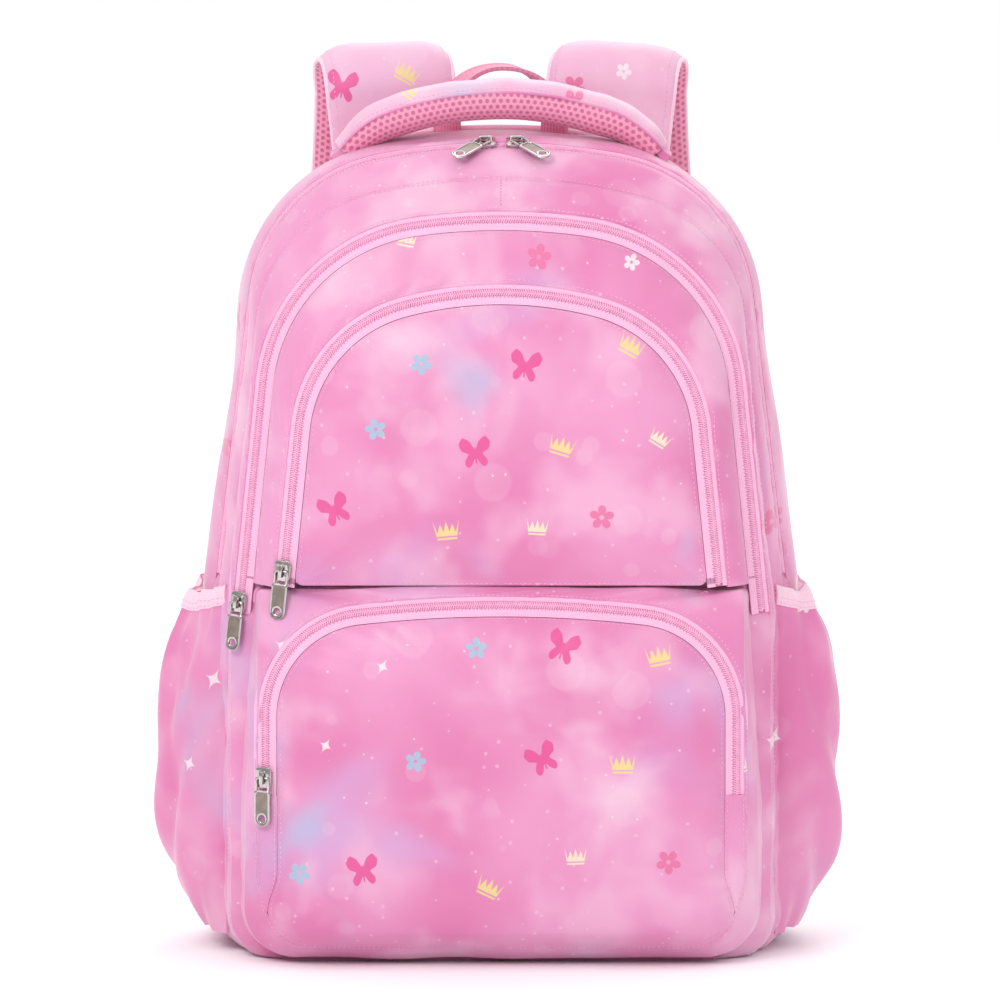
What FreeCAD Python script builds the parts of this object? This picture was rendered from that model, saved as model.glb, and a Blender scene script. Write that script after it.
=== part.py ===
import FreeCAD, Part

"""School backpack with four zipped compartments, two side pockets, a padded handle and shoulder straps.

Millimetres. +X is to the right as the bag is seen from its front, -Y comes out of the front face and
+Z is up.
The origin is the middle of the flat base, so the bag stands on the plane z = 0.
Each shell layer is an arch outline set at its own depth y; the layers get smaller towards the front.
"""
import math
import os

V = FreeCAD.Vector

# ---- driving dimensions -------------------------------------------------------------------
WALL = 3.0                # fabric, foam and lining of a gusset wall, measured across the outline
SHEET = 2.0               # a single panel or divider
GAP = 0.4                 # left between pieces that meet at a seam but belong to different bodies
LEAN = 0.1                # how much a leg leans in for each millimetre it rises above the fold
FOLD_Z = 182.0            # height that the gussets of the upper compartments are split at
POCKET_TOP = 200.0        # top edge of the lower pocket
FLAP_Z = 203.0            # bottom edge of the panels that stand behind the pocket's top edge
CORNER = 30.0             # bottom corner radius of the shell
BASE_HALF = 112.0         # half width of the flat base panel

Y_BACK = 76.0             # rear seam of the main compartment
Y_WIDE = 40.0             # fullest section of the main compartment
Y_ZIP_REAR = 9.0          # rear edge of the main zip
Y_ZIP_FRONT = -5.0        # front edge of the main zip
Y_SEAM = -22.0            # seam between the main and middle compartments
Y_MIDDLE = -36.0          # front edge of the middle gusset, at the middle zip
Y_LOWER_BACK = -46.0      # plane that the lower pocket is sewn to
Y_FRONT_RIM = -61.0       # rim of the middle panel, at the front zip
Y_LOWER_RIM = -60.0       # front edge of the lower pocket's gusset
Y_LOWER_ZIP = -69.8       # its face frame's inner edge, at the zip
BACK_THICK = 6.0          # back panel
PAD_THICK = 9.0           # back pads

LOWER_END_Z = 88.0        # where the lower zip ends and its flap folds

TAPE_IN, TAPE_OUT = 4.9, 6.4    # a zip tape's visible strip, from and to, off the middle of the zip
CHAIN_HALF = 2.5          # half width of the interlocked coil
CHAIN_THICK = 2.2
TAPE_THICK = 0.8

HANDLE_Y = 35.0           # middle of the carry handle
HANDLE_RISE = 448.0       # height of its centre line at the middle
HANDLE_R = 170.0
HANDLE_HALF_ANGLE = 25.06
STRAP_X = 62.0            # middle of a shoulder strap at its top
STRAP_WIDE = 68.0
STRAP_SPLAY = 5.5         # degrees that each strap spreads outward on its way down
STRAP_TOP = 464.0
STRAP_Y = 110.0           # middle of the fold at a strap's top
STRAP_FOLD_R = 20.0
STRAP_FOOT = 437.0        # where a strap leaves the stiff tab that it is sewn to
STRAP_LAYER = 5.0         # thickness of the cover side and of the mesh side
WEB_WIDE = 25.0
WEB_THICK = 1.4
LOCK_AT = V(88.0, 118.0, 188.0)       # middle of the right ladder lock
ANCHOR_AT = V(122.0, 96.0, 60.0)      # where the right lower webbing is sewn in

# The zips' sliders: how far each main one stands from the middle, the degrees that its pull turns
# from the zip's line towards the front, and the heights of the others on the left legs
MAIN_SLIDER_X = 8.0
MAIN_PULL_TURN = 50.0
SLIDER_Z = {"middle": 190.0, "front": 209.5, "lower": 101.0}

# A side pocket's outline from its foot to its mouth: height, and how far out it reaches
POCKET_SECTIONS = [(10, 152), (20, 160), (36, 170), (58, 177.5), (90, 181.5), (130, 179), (172, 171.5),
                   (196, 165)]
POCKET_ABOVE = (220, 158.5)    # the same slope carried on past the mouth, to cut it open

PARTS = {}


# ---- arches -------------------------------------------------------------------------------
class Arch:
    """Legs that lean in above the fold, two shoulder arcs and one crown arc, all tangent."""

    def __init__(self, foot, top, crown_r, shoulder_r, lean=LEAN, fold=FOLD_Z):
        self.foot, self.top, self.crown_r, self.shoulder_r = foot, top, crown_r, shoulder_r
        self.lean, self.fold = lean, fold
        tilt = math.atan(lean)
        self.along = V(-math.sin(tilt), 0, math.cos(tilt))
        inward = V(-math.cos(tilt), 0, -math.sin(tilt))
        self.centre = V(0, 0, top - crown_r)
        start = V(foot, 0, fold)
        reach = start + inward * shoulder_r - self.centre
        half = -reach.dot(self.along)
        climb = half + math.sqrt(half ** 2 - reach.Length ** 2 + (crown_r - shoulder_r) ** 2)
        self.shoulder = start + self.along * climb + inward * shoulder_r
        self.spring = start + self.along * climb                 # leg meets shoulder
        out = (self.shoulder - self.centre).normalize()
        self.knuckle = self.centre + out * crown_r                # shoulder meets crown
        mid = ((self.spring - self.shoulder).normalize() + out).normalize()
        self.haunch = self.shoulder + mid * shoulder_r            # middle of the shoulder arc

    def offset(self, d):
        """The parallel arch, d further out."""
        foot = self.foot + d * math.sqrt(1 + self.lean ** 2)
        return Arch(foot, self.top + d, self.crown_r + d, self.shoulder_r + d, self.lean, self.fold)

    def leg(self, z):
        """The point of the right leg at height z, below the shoulder."""
        return V(self.foot - self.lean * (z - self.fold), 0, z)

    def over(self, y):
        """The edges from the right leg's spring over the crown to the left leg's."""
        r = [V(p.x, y, p.z) for p in (self.spring, self.haunch, self.knuckle)]
        l = [V(-p.x, y, p.z) for p in r]
        crown = V(0, y, self.top)
        return [Part.Arc(r[0], r[1], r[2]), Part.Arc(r[2], crown, l[2]), Part.Arc(l[2], l[1], l[0])]

    def path(self, y, z_end):
        """Open wire from the right leg's end at z_end, over the crown, to the left leg's end."""
        foot = self.leg(z_end)
        spring = self.spring
        first = Part.LineSegment(V(foot.x, y, z_end), V(spring.x, y, spring.z))
        last = Part.LineSegment(V(-spring.x, y, spring.z), V(-foot.x, y, z_end))
        return Part.Wire([e.toShape() for e in [first, *self.over(y), last]])

    def outline(self, y, bottom, corner):
        """Closed wire: the arch, upright legs below the fold, round corners and a flat bottom."""
        toe = bottom + corner
        x = self.leg(max(toe, self.fold)).x
        bend = corner * (1 - math.sqrt(0.5))
        right = [Part.Arc(V(x - corner, y, bottom), V(x - bend, y, bottom + bend), V(x, y, toe))]
        left = [Part.Arc(V(-x, y, toe), V(bend - x, y, bottom + bend), V(corner - x, y, bottom))]
        if toe < self.fold:
            right.append(Part.LineSegment(V(x, y, toe), V(x, y, self.fold)))
            left.insert(0, Part.LineSegment(V(-x, y, self.fold), V(-x, y, toe)))
        hip = max(toe, self.fold)
        spring = self.spring
        right.append(Part.LineSegment(V(x, y, hip), V(spring.x, y, spring.z)))
        left.insert(0, Part.LineSegment(V(-spring.x, y, spring.z), V(-x, y, hip)))
        sole = Part.LineSegment(V(corner - x, y, bottom), V(x - corner, y, bottom))
        return Part.Wire([e.toShape() for e in [sole, *right, *self.over(y), *left]])


MAIN_BACK = Arch(153.5, 426, 440, 112)    # rear seam
MAIN_WIDE = Arch(158, 432, 400, 105)      # fullest section
MAIN_ZIP = Arch(153.6, 426.5, 340, 85)
MAIN_ZIP_REAR = MAIN_ZIP.offset(2.4)
MAIN_ZIP_FRONT = MAIN_ZIP.offset(-2.4)
SEAM = Arch(143.5, 412, 290, 72)          # main to middle compartment
MIDDLE_ZIP = Arch(137.8, 393, 320, 94)
FRONT_ZIP = Arch(116.8, 357, 200, 75)
LOWER_ZIP = Arch(124, 192.5, 660, 55, 0.0, LOWER_END_Z)
POCKET_SEAM = Arch(137, POCKET_TOP, 4000, 8, 0.072, LOWER_END_Z)

MAIN_SHELL = [(MAIN_BACK, Y_BACK, 0, CORNER), (MAIN_WIDE, Y_WIDE, 0, CORNER),
              (MAIN_ZIP_REAR, Y_ZIP_REAR, 0, CORNER)]

LOWER_SHELL = [(MAIN_ZIP_REAR, Y_ZIP_REAR - GAP, 0, CORNER), (MAIN_ZIP_FRONT, Y_ZIP_FRONT, 0, CORNER),
               (SEAM, Y_SEAM, 0, CORNER), (MIDDLE_ZIP.offset(TAPE_OUT - 0.8), Y_MIDDLE, 0, CORNER),
               (MIDDLE_ZIP.offset(-TAPE_OUT - 1.6), Y_LOWER_BACK, 0, CORNER)]

# The zips: arch, depth of the chain's middle, tilt of its face away from straight forward, lower end
ZIPS = {
    "main": (MAIN_ZIP, (Y_ZIP_REAR + Y_ZIP_FRONT) / 2, 70.0, 199.0),
    "middle": (MIDDLE_ZIP, -41.0, 32.0, 184.0),
    "front": (FRONT_ZIP, -64.0, 22.0, 203.5),
    "lower": (LOWER_ZIP, -73.0, 24.0, LOWER_END_Z + 2),
}


# ---- solids -------------------------------------------------------------------------------
def block(x0, x1, y0, y1, z0, z1):
    return Part.makeBox(x1 - x0, y1 - y0, z1 - z0, V(x0, y0, z0))


def above(z):
    return block(-300, 300, -200, 300, z, 700)


def below(z):
    return block(-300, 300, -200, 300, -100, z)


def loft(wires):
    return Part.makeLoft(wires, True, True)


def layer(stations, inset=0.0):
    """The solid through (arch, y, bottom, corner) stations, drawn in by inset all round."""
    wires = [a.offset(-inset).outline(y, b + inset, max(c - inset, 2)) for a, y, b, c in stations]
    return loft(wires)


def ring(stations, wall=WALL):
    """The wall of a layer: open towards the front and the back."""
    return layer(stations).cut(layer(stations, wall))


def panel(arch, y, bottom, corner, thick=SHEET):
    """A flat panel with the arch's outline, its front at y."""
    return Part.Face(arch.outline(y, bottom, corner)).extrude(V(0, thick, 0))


def dome(arch, y, bottom, corner, steps, thick=SHEET):
    """A crowned sheet: each step is (drawn in by, further forward by) from its rim at y."""
    wires = [arch.outline(y, bottom, corner)]
    for inset, forward in steps:
        wires.append(arch.offset(-inset).outline(y - forward, bottom + inset, corner))
    outer = loft(wires)
    inner = outer.copy()
    inner.translate(V(0, thick, 0))
    return outer.cut(inner)


def strip(arch, y, tilt, z_end, across, through):
    """A flat strip swept along an arch. across and through are its edges from the middle of the zip,
    outwards over the fabric and out of its face. tilt turns the face from forward to outward."""
    a = math.radians(tilt)
    wire = arch.path(y, z_end)
    foot = V(arch.leg(z_end).x, y, z_end)
    out = V(0, 0, 0) - arch.along.cross(V(0, 1, 0))           # in the arch's plane, away from its middle
    wide = out * math.cos(a) + V(0, 1, 0) * math.sin(a)
    face = out * math.sin(a) - V(0, 1, 0) * math.cos(a)
    corners = [foot + wide * w + face * t for w, t in
               [(across[0], through[0]), (across[1], through[0]),
                (across[1], through[1]), (across[0], through[1])]]
    profile = Part.makePolygon([*corners, corners[0]])
    return wire.makePipeShell([profile], True, False, 2)


def mirrored(shape):
    return shape.mirror(V(0, 0, 0), V(1, 0, 0))


def rounded(shape, radius, wanted):
    """Fillets the edges that wanted(edge) picks."""
    return shape.makeFillet(radius, [e for e in shape.Edges if wanted(e)])


def along_y(edge):
    d = edge.tangentAt(edge.FirstParameter)
    return abs(d.y) > 0.99


def side_pocket_body(inset):
    """The right side pocket as a solid: bowed sections from its foot to its mouth. The inside, drawn in
    by inset, runs on past the mouth."""
    front, back, root, seam = -4.2 + inset, 72.0 - inset, 138.0, 149.0
    wires = []
    for z, reach in POCKET_SECTIONS + ([POCKET_ABOVE] if inset else []):
        z = z + inset if z < 100 else z
        tip = reach - inset
        edges = [Part.LineSegment(V(root, front, z), V(seam, front, z)),
                 Part.Arc(V(seam, front, z), V(tip, (front + back) / 2, z), V(seam, back, z)),
                 Part.LineSegment(V(seam, back, z), V(root, back, z)),
                 Part.LineSegment(V(root, back, z), V(root, front, z))]
        wires.append(Part.Wire([e.toShape() for e in edges]))
    return loft(wires)


# ---- zips ---------------------------------------------------------------------------------
def zip_strips(name):
    """The chain and the two tapes of a zip. The inner tape opens with the flap, so it starts above
    the fold."""
    arch, y, tilt, z_end = ZIPS[name]
    chain = strip(arch, y, tilt, z_end, (-CHAIN_HALF, CHAIN_HALF), (-CHAIN_THICK / 2, CHAIN_THICK / 2))
    thin = (-TAPE_THICK / 2, TAPE_THICK / 2)
    outer = strip(arch, y, tilt, z_end, (CHAIN_HALF + 0.05, TAPE_OUT), thin)
    flap_end = z_end if name == "lower" else FLAP_Z
    inner = strip(arch, y, tilt, flap_end, (-TAPE_OUT, -TAPE_IN), thin)
    return chain, outer, inner


def keep_zip(name, outer="outer", inner="inner"):
    """Adds a zip's chain and tapes to the parts; outer and inner are what its tapes are called."""
    strips = zip_strips(name)
    for label, shape in zip(("chain", "tape_" + outer, "tape_" + inner), strips):
        PARTS[name + "_zip_" + label] = shape


def slider_body():
    """A slider in its own axes: X across the zip with +X towards the flap, -Y out of its face and +Z
    along it.

    The wall on the +X side joins the two plates; the chain runs between them.
    """
    half_w, half_l = 4.4, 5.4
    top = rounded(block(-half_w, half_w, -3.2, -1.9, -half_l, half_l), 2.0, along_y)
    bottom = rounded(block(-half_w, half_w, 1.7, 2.7, -half_l, half_l), 2.0, along_y)
    wall = block(3.0, half_w, -2.0, 1.8, -half_l + 2.2, half_l - 2.2)
    bridge = block(-1.0, 1.0, -6.4, -3.1, -3.3, 3.3).cut(block(-2, 2, -5.5, -3.2, -2.3, 2.3))
    return top.fuse([bottom, wall, bridge]).removeSplitter()


PULL_AXIS_Y = -4.3        # the pull's crossbar, in the slider's axes


def pull_tab():
    """A pull hanging down -Z from its crossbar under the slider's bridge."""
    y, opening, half = PULL_AXIS_Y, 3.3, 4.4
    bar = Part.makeCylinder(0.6, 2 * half, V(-half, y, 0), V(1, 0, 0))
    arms = [block(x, x + half - opening, y - 0.6, y + 0.6, -7.0, 0) for x in (-half, opening)]
    tab = block(-half, half, y - 0.6, y + 0.6, -21.5, -6.6)
    end = Part.makeCylinder(half, 1.2, V(0, y - 0.6, -21.5), V(0, 1, 0))
    hole = Part.makeCylinder(2.2, 3, V(0, y - 1.5, -21.8), V(0, 1, 0))
    return tab.fuse([end, bar, *arms]).removeSplitter().cut(hole)


def placed(shape, at, across, face, along):
    """Puts a shape made in slider axes at a point: across is its X, face its -Y and along its Z."""
    m = FreeCAD.Matrix(across.x, -face.x, along.x, at.x,
                       across.y, -face.y, along.y, at.y,
                       across.z, -face.z, along.z, at.z,
                       0, 0, 0, 1)
    moved = shape.copy()
    moved.transformShape(m)
    return moved


def leg_slider(name, z):
    """Slider and pull on the left leg of a zip, at height z."""
    arch, y, tilt, _ = ZIPS[name]
    a = math.radians(tilt)
    p = arch.leg(z)
    along = V(-arch.along.x, 0, arch.along.z)                # the left leg leans the other way
    out = V(-arch.along.z, 0, -arch.along.x)
    wide = out * math.cos(a) + V(0, 1, 0) * math.sin(a)
    face = out * math.sin(a) - V(0, 1, 0) * math.cos(a)
    at = V(-p.x, y, p.z)
    return (placed(slider_body(), at, V(0, 0, 0) - wide, face, along),
            placed(pull_tab(), at, V(0, 0, 0) - wide, face, along))


def crown_slider(side):
    """Slider and pull beside the middle of the main zip; side is 1 for right and -1 for left."""
    arch, y, tilt, _ = ZIPS["main"]
    a, turn = math.radians(tilt), side * math.asin(MAIN_SLIDER_X / arch.crown_r)
    out = V(math.sin(turn), 0, math.cos(turn))
    along = V(-math.cos(turn), 0, math.sin(turn)) * side
    at = arch.centre + out * arch.crown_r + V(0, y, 0)
    wide = out * math.cos(a) + V(0, 1, 0) * math.sin(a)
    face = out * math.sin(a) - V(0, 1, 0) * math.cos(a)
    across = V(0, 0, 0) - wide
    body = placed(slider_body(), at, across, face, face.cross(across))
    hang = (V(0, 0, 0) - along) * math.cos(math.radians(MAIN_PULL_TURN))
    hang = hang + (V(0, 0, 0) - wide) * math.sin(math.radians(MAIN_PULL_TURN))
    tab = placed(pull_tab(), at, (V(0, 0, 0) - face).cross(hang) * -1, face, V(0, 0, 0) - hang)
    return body, tab


# ---- straps -------------------------------------------------------------------------------
def strap_path():
    """The middle line of a strap in the plane x = 0: up from the yoke, over, and down behind."""
    y0, top, r = STRAP_Y, STRAP_TOP, STRAP_FOLD_R
    c = V(0, y0, top - r)
    foot, rise = V(0, y0 - r, STRAP_FOOT - 5), V(0, y0 - r, top - r)
    roll = math.radians(15)
    leave = c + V(0, math.cos(roll), math.sin(roll)) * r
    end = V(0, 121, 206)
    chord = end - leave
    bulge = math.radians(15) + math.atan2(leave.y - end.y, leave.z - end.z)
    sag = chord.Length / 2 * math.tan(bulge / 2)
    side = V(0, -chord.z, chord.y).normalize()
    return Part.Wire([
        Part.LineSegment(foot, rise).toShape(),
        Part.Arc(rise, c + V(0, -0.3, 0.954).normalize() * r, leave).toShape(),
        Part.Arc(leave, leave + chord * 0.5 + side * sag, end).toShape(),
    ])


def strap_layer(inner, outer):
    """One layer of the right strap, between two distances from its middle line. The cover is on the
    positive side."""
    half = STRAP_WIDE / 2
    y, z = STRAP_Y - STRAP_FOLD_R, STRAP_FOOT - 5
    profile = Part.makePolygon([V(-half, y - inner, z), V(half, y - inner, z),
                                V(half, y - outer, z), V(-half, y - outer, z), V(-half, y - inner, z)])
    shape = strap_path().makePipeShell([profile], True, False)
    shape.rotate(V(0, 0, STRAP_TOP), V(0, 1, 0), -STRAP_SPLAY)
    shape.translate(V(STRAP_X, 0, 0))
    return shape.cut(block(0, 200, 0, STRAP_Y, 300, STRAP_FOOT))


def lock_axes():
    down = (ANCHOR_AT - LOCK_AT).normalize()
    across = down.cross(V(0, 1, 0)).normalize() * -1
    face = across.cross(down)
    return down, across, face


def ladder_lock():
    """A frame with two slots, in the plane of the lower webbing."""
    frame = block(-17, 17, -2, 2, -12, 12)
    frame = rounded(frame, 3, along_y)
    frame = frame.cut(block(-13.5, 13.5, -3, 3, 2.0, 8.0)).cut(block(-13.5, 13.5, -3, 3, -8.5, -2.0))
    down, across, face = lock_axes()
    return placed(frame, LOCK_AT, across, face * -1, down * -1)


def lower_webbing():
    """The webbing: up from the anchor, over the lock's middle bar, and down again as a loose tail."""
    w, t, gap = WEB_WIDE / 2, WEB_THICK, 2.4
    length = (ANCHOR_AT - LOCK_AT).Length
    load = block(-w, w, gap, gap + t, -length, 3.8)
    tail = block(-w, w, -gap - t, -gap, -104, 3.8)
    hem = block(-w, w, -gap - 2 * t, -gap - t, -104, -90)
    turn = block(-w, w, -gap, gap, 2.4, 3.8)
    loop = [block(-w, w, -gap - t, -gap, 5, 15),
            block(-w, w, gap, gap + t, 5, 15),
            block(-w, w, -gap, gap, 5, 6.4)]
    down, across, face = lock_axes()
    pieces = [load.fuse([tail, hem, turn]).removeSplitter(), loop[0].fuse(loop[1:]).removeSplitter()]
    return Part.makeCompound([placed(p, LOCK_AT, across, face * -1, down * -1) for p in pieces])


# ---- handle -------------------------------------------------------------------------------
def handle_layer(lower, upper, shrink=0.0):
    """A bent bar of half-oval sections: lower and upper say which halves of the oval it has."""
    wires = []
    for step in range(-3, 4):
        turn = math.radians(HANDLE_HALF_ANGLE * step / 3)
        share = 1 - (step / 3) ** 2 * 0.65
        tall, deep = 10.0 * share - shrink * share, 15.0 * share - shrink * share
        out, across = V(math.sin(turn), 0, math.cos(turn)), V(0, 1, 0)
        mid = V(0, HANDLE_Y, HANDLE_RISE - HANDLE_R) + out * HANDLE_R
        left, right = mid - across * deep, mid + across * deep
        top, bottom = mid + out * tall, mid - out * tall
        edges = []
        if upper:
            edges += [Part.Arc(left, mid + (out * tall - across * deep) * 0.74, top),
                      Part.Arc(top, mid + (out * tall + across * deep) * 0.74, right)]
        else:
            edges += [Part.LineSegment(left, right)]
        if lower:
            edges += [Part.Arc(right, mid + (across * deep - out * tall) * 0.74, bottom),
                      Part.Arc(bottom, mid - (out * tall + across * deep) * 0.74, left)]
        else:
            edges += [Part.LineSegment(right, left)]
        wires.append(Part.Wire([e.toShape() for e in edges]))
    return Part.makeLoft(wires, True, True)


# ---- assembly -----------------------------------------------------------------------------
def build_main_compartment():
    base_cut = block(-BASE_HALF - GAP, BASE_HALF + GAP, -200, Y_BACK + 1, -1, WALL + GAP)
    PARTS["main_gusset"] = ring(MAIN_SHELL).cut(base_cut)
    shell = ring(LOWER_SHELL).cut(base_cut).common(below(FOLD_Z - GAP))
    wall = panel(MIDDLE_ZIP.offset(-9), Y_LOWER_BACK, 1, CORNER).common(below(FOLD_Z - GAP))
    wall = wall.fuse(block(-124, 124, Y_LOWER_BACK, Y_LOWER_BACK + SHEET, 100, POCKET_TOP - 2))
    divider = panel(SEAM.offset(-WALL + 0.1), Y_SEAM + 4, WALL + GAP, CORNER).common(below(FOLD_Z - GAP))
    base_room = block(-BASE_HALF - GAP, BASE_HALF + GAP, -200, 200, -1, WALL + GAP)
    PARTS["lower_front_shell"] = shell.fuse(wall.cut(base_room)).removeSplitter()
    PARTS["lower_divider"] = divider.cut(base_room).common(layer(LOWER_SHELL, WALL + 0.2))
    PARTS["base_panel"] = block(-BASE_HALF, BASE_HALF, Y_LOWER_BACK + 0.1, Y_BACK, 0, WALL)
    PARTS["back_panel"] = panel(MAIN_BACK, Y_BACK, 0, CORNER, BACK_THICK)
    sleeve = block(-124, 124, 59, Y_BACK - GAP, 6, 300).cut(block(-121, 121, 61, Y_BACK + 1, 9, 301))
    PARTS["inner_sleeve"] = sleeve.common(layer(MAIN_SHELL, WALL + 1))


def build_back():
    y0, y1 = Y_BACK + BACK_THICK, Y_BACK + BACK_THICK + PAD_THICK

    def pad(x0, x1, z0, z1):
        body = block(x0, x1, y0, y1, z0, z1)
        body = rounded(body, 18, along_y)
        return rounded(body, 6, lambda e: abs(e.CenterOfMass.y - y1) < 0.01)
    PARTS["back_pad_right"] = pad(12, 108, 150, 372)
    PARTS["back_pad_left"] = mirrored(PARTS["back_pad_right"])
    PARTS["lumbar_pad"] = pad(-98, 98, 34, 138)
    yoke = block(-104, 104, y0, y0 + 4, 380, 408)
    x, half = STRAP_X, STRAP_WIDE / 2
    y = STRAP_Y - STRAP_FOLD_R
    tabs = [block(middle - half, middle + half, y - STRAP_LAYER, y + STRAP_LAYER, 400, STRAP_FOOT - 1)
            for middle in (-x, x)]
    PARTS["strap_yoke"] = yoke.fuse(tabs).removeSplitter()


def build_front_section():
    upper = [(MAIN_ZIP_FRONT, Y_ZIP_FRONT, 0, CORNER), (SEAM, Y_SEAM, 0, CORNER),
             (MIDDLE_ZIP.offset(TAPE_OUT + 0.8), Y_MIDDLE, 0, CORNER)]
    PARTS["middle_gusset"] = ring(upper).common(above(FOLD_Z + GAP))
    divider = panel(SEAM.offset(-WALL - GAP), Y_SEAM + 4, 0, CORNER).common(above(FOLD_Z + GAP))
    PARTS["main_divider"] = divider.common(layer(upper, WALL + GAP))
    keep_zip("main", "rear", "front")
    keep_zip("middle")


def build_middle_flap():
    stations = [(MIDDLE_ZIP.offset(-TAPE_OUT - 1.4), -47.0, 0, CORNER),
                (FRONT_ZIP.offset(TAPE_OUT + 1.2), Y_FRONT_RIM, 0, CORNER)]
    PARTS["middle_panel"] = ring(stations, 4).common(above(FLAP_Z))
    back = panel(MIDDLE_ZIP.offset(-TAPE_OUT - 6), -47.0, 0, CORNER, 1.5)
    PARTS["front_pocket_back"] = back.common(above(FLAP_Z))
    keep_zip("front")


def build_front_flap():
    arch = FRONT_ZIP.offset(-TAPE_OUT - 1.0)
    steps = [(9, 7), (24, 11), (42, 13)]
    PARTS["front_panel"] = dome(arch, -66.5, FLAP_Z + 2, 6, steps)


def build_lower_pocket():
    gusset = ring([(POCKET_SEAM, Y_LOWER_BACK + 6, 2, 28),
                   (POCKET_SEAM, Y_LOWER_BACK, 2, 28),
                   (POCKET_SEAM.offset(-3), Y_LOWER_RIM, 4, 27),
                   (LOWER_ZIP.offset(TAPE_OUT + 0.8), Y_LOWER_ZIP, 9, 26)])
    behind = block(-300, 300, Y_LOWER_BACK, 100, FOLD_Z - 10, 300)
    under = block(-BASE_HALF - GAP, BASE_HALF + GAP, Y_LOWER_BACK, 100, -1, WALL + GAP)
    PARTS["lower_pocket_gusset"] = gusset.cut(layer(LOWER_SHELL)).cut(behind).cut(under)
    arch = LOWER_ZIP.offset(-TAPE_OUT - 1.0)
    steps = [(8, 8), (20, 12), (34, 14)]
    face = dome(arch, -76.0, 12, 24, steps)
    PARTS["lower_panel"] = face.common(above(LOWER_END_Z + GAP))
    PARTS["lower_face_panel"] = face.common(below(LOWER_END_Z - GAP))
    keep_zip("lower")
    _, y, tilt, _ = ZIPS["lower"]
    a = math.radians(tilt)
    half = TAPE_OUT + 0.4
    middle = V(LOWER_ZIP.foot, y, 0)
    wide = V(math.cos(a), math.sin(a), 0)
    face = V(math.sin(a), -math.cos(a), 0)
    top = LOWER_END_Z
    shape = [(half, top), (-half, top), (-half, 44), (0, 26), (half, 50), (half, top)]
    corners = [middle + wide * across + V(0, 0, z) for across, z in shape]
    tab = Part.Face(Part.makePolygon(corners)).extrude(face * TAPE_THICK)
    PARTS["lower_gusset_tabs"] = Part.makeCompound([tab, mirrored(tab)])


def build_side_pockets():
    room = layer([(MAIN_BACK, Y_BACK + 10, 0, CORNER), (MAIN_BACK, Y_BACK, 0, CORNER),
                  (MAIN_WIDE, Y_WIDE, 0, CORNER), (MAIN_ZIP_REAR, Y_ZIP_REAR - GAP, 0, CORNER),
                  (MAIN_ZIP_FRONT, Y_ZIP_FRONT, 0, CORNER), (SEAM, Y_SEAM, 0, CORNER)], -GAP)
    body = side_pocket_body(0).cut(side_pocket_body(2.5)).cut(room)
    rim = block(0, 300, -100, 200, 186, 260)
    PARTS["pocket_binding_right"] = body.common(rim)
    PARTS["side_pocket_right"] = body.cut(rim)
    for name in ("pocket_binding", "side_pocket"):
        PARTS[name + "_left"] = mirrored(PARTS[name + "_right"])


def build_handle():
    core = handle_layer(True, True, 4.0)
    room = handle_layer(True, True, 3.7)
    PARTS["handle_foam"] = core
    PARTS["handle_cover"] = handle_layer(False, True).cut(room)
    PARTS["handle_mesh"] = handle_layer(True, False).cut(room)
    side = [(74.5, 400), (74.5, 431.5), (79, 428.5), (86, 419), (86, 400), (74.5, 400)]
    outline = Part.makePolygon([V(x, HANDLE_Y - 8, z) for x, z in side])
    tab = Part.Face(outline).extrude(V(0, 16, 0)).cut(layer(MAIN_SHELL))
    PARTS["handle_tabs"] = Part.makeCompound([tab, mirrored(tab)])


def build_straps():
    PARTS["strap_cover_right"] = strap_layer(0.0, STRAP_LAYER)
    PARTS["strap_mesh_right"] = strap_layer(-STRAP_LAYER, 0.0)
    PARTS["ladder_lock_right"] = ladder_lock()
    PARTS["strap_webbing_right"] = lower_webbing()
    seam = Y_BACK + BACK_THICK
    down, across, face = lock_axes()
    tip = ANCHOR_AT + down * 1.0
    ends = [Part.makePolygon([a, b, b + n, a + n, a]) for a, b, n in
            [(V(106, seam, 12), V(142, seam, 24), V(0, SHEET + 1, 0)),
             (tip - across * 14 + face * 1.6, tip + across * 14 + face * 1.6, face * 3.0)]]
    PARTS["strap_anchor_right"] = Part.makeLoft(ends, True, True)
    for name in ("strap_cover", "strap_mesh", "ladder_lock", "strap_webbing", "strap_anchor"):
        PARTS[name + "_left"] = mirrored(PARTS[name + "_right"])
    r, y = 28.0, 74.0
    arch = Part.Wire([Part.LineSegment(V(r, y, 424.5), V(r, y, 432)).toShape(),
                      Part.Arc(V(r, y, 432), V(0, y, 432 + r), V(-r, y, 432)).toShape(),
                      Part.LineSegment(V(-r, y, 432), V(-r, y, 424.5)).toShape()])
    flat = [(r - 0.8, y - 8), (r + 0.8, y - 8), (r + 0.8, y + 8), (r - 0.8, y + 8), (r - 0.8, y - 8)]
    profile = Part.makePolygon([V(across, deep, 424.5) for across, deep in flat])
    PARTS["hang_loop"] = arch.makePipeShell([profile], True, False)


def build_sliders():
    for name, z in SLIDER_Z.items():
        PARTS[name + "_slider"], PARTS[name + "_pull"] = leg_slider(name, z)
    for label, side in (("right", 1), ("left", -1)):
        PARTS["main_slider_" + label], PARTS["main_pull_" + label] = crown_slider(side)


build_main_compartment()
build_back()
build_front_section()
build_middle_flap()
build_front_flap()
build_lower_pocket()
build_side_pockets()
build_handle()
build_straps()
build_sliders()

os.makedirs("parts", exist_ok=True)
for node, shape in sorted(PARTS.items()):
    if not shape.isValid() or not shape.Solids or min(s.Volume for s in shape.Solids) <= 0:
        print("CHECK", node, shape.isValid(), [round(s.Volume, 1) for s in shape.Solids])
    shape.exportStep("parts/" + node + ".step")
print(len(PARTS), "nodes")
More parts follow.
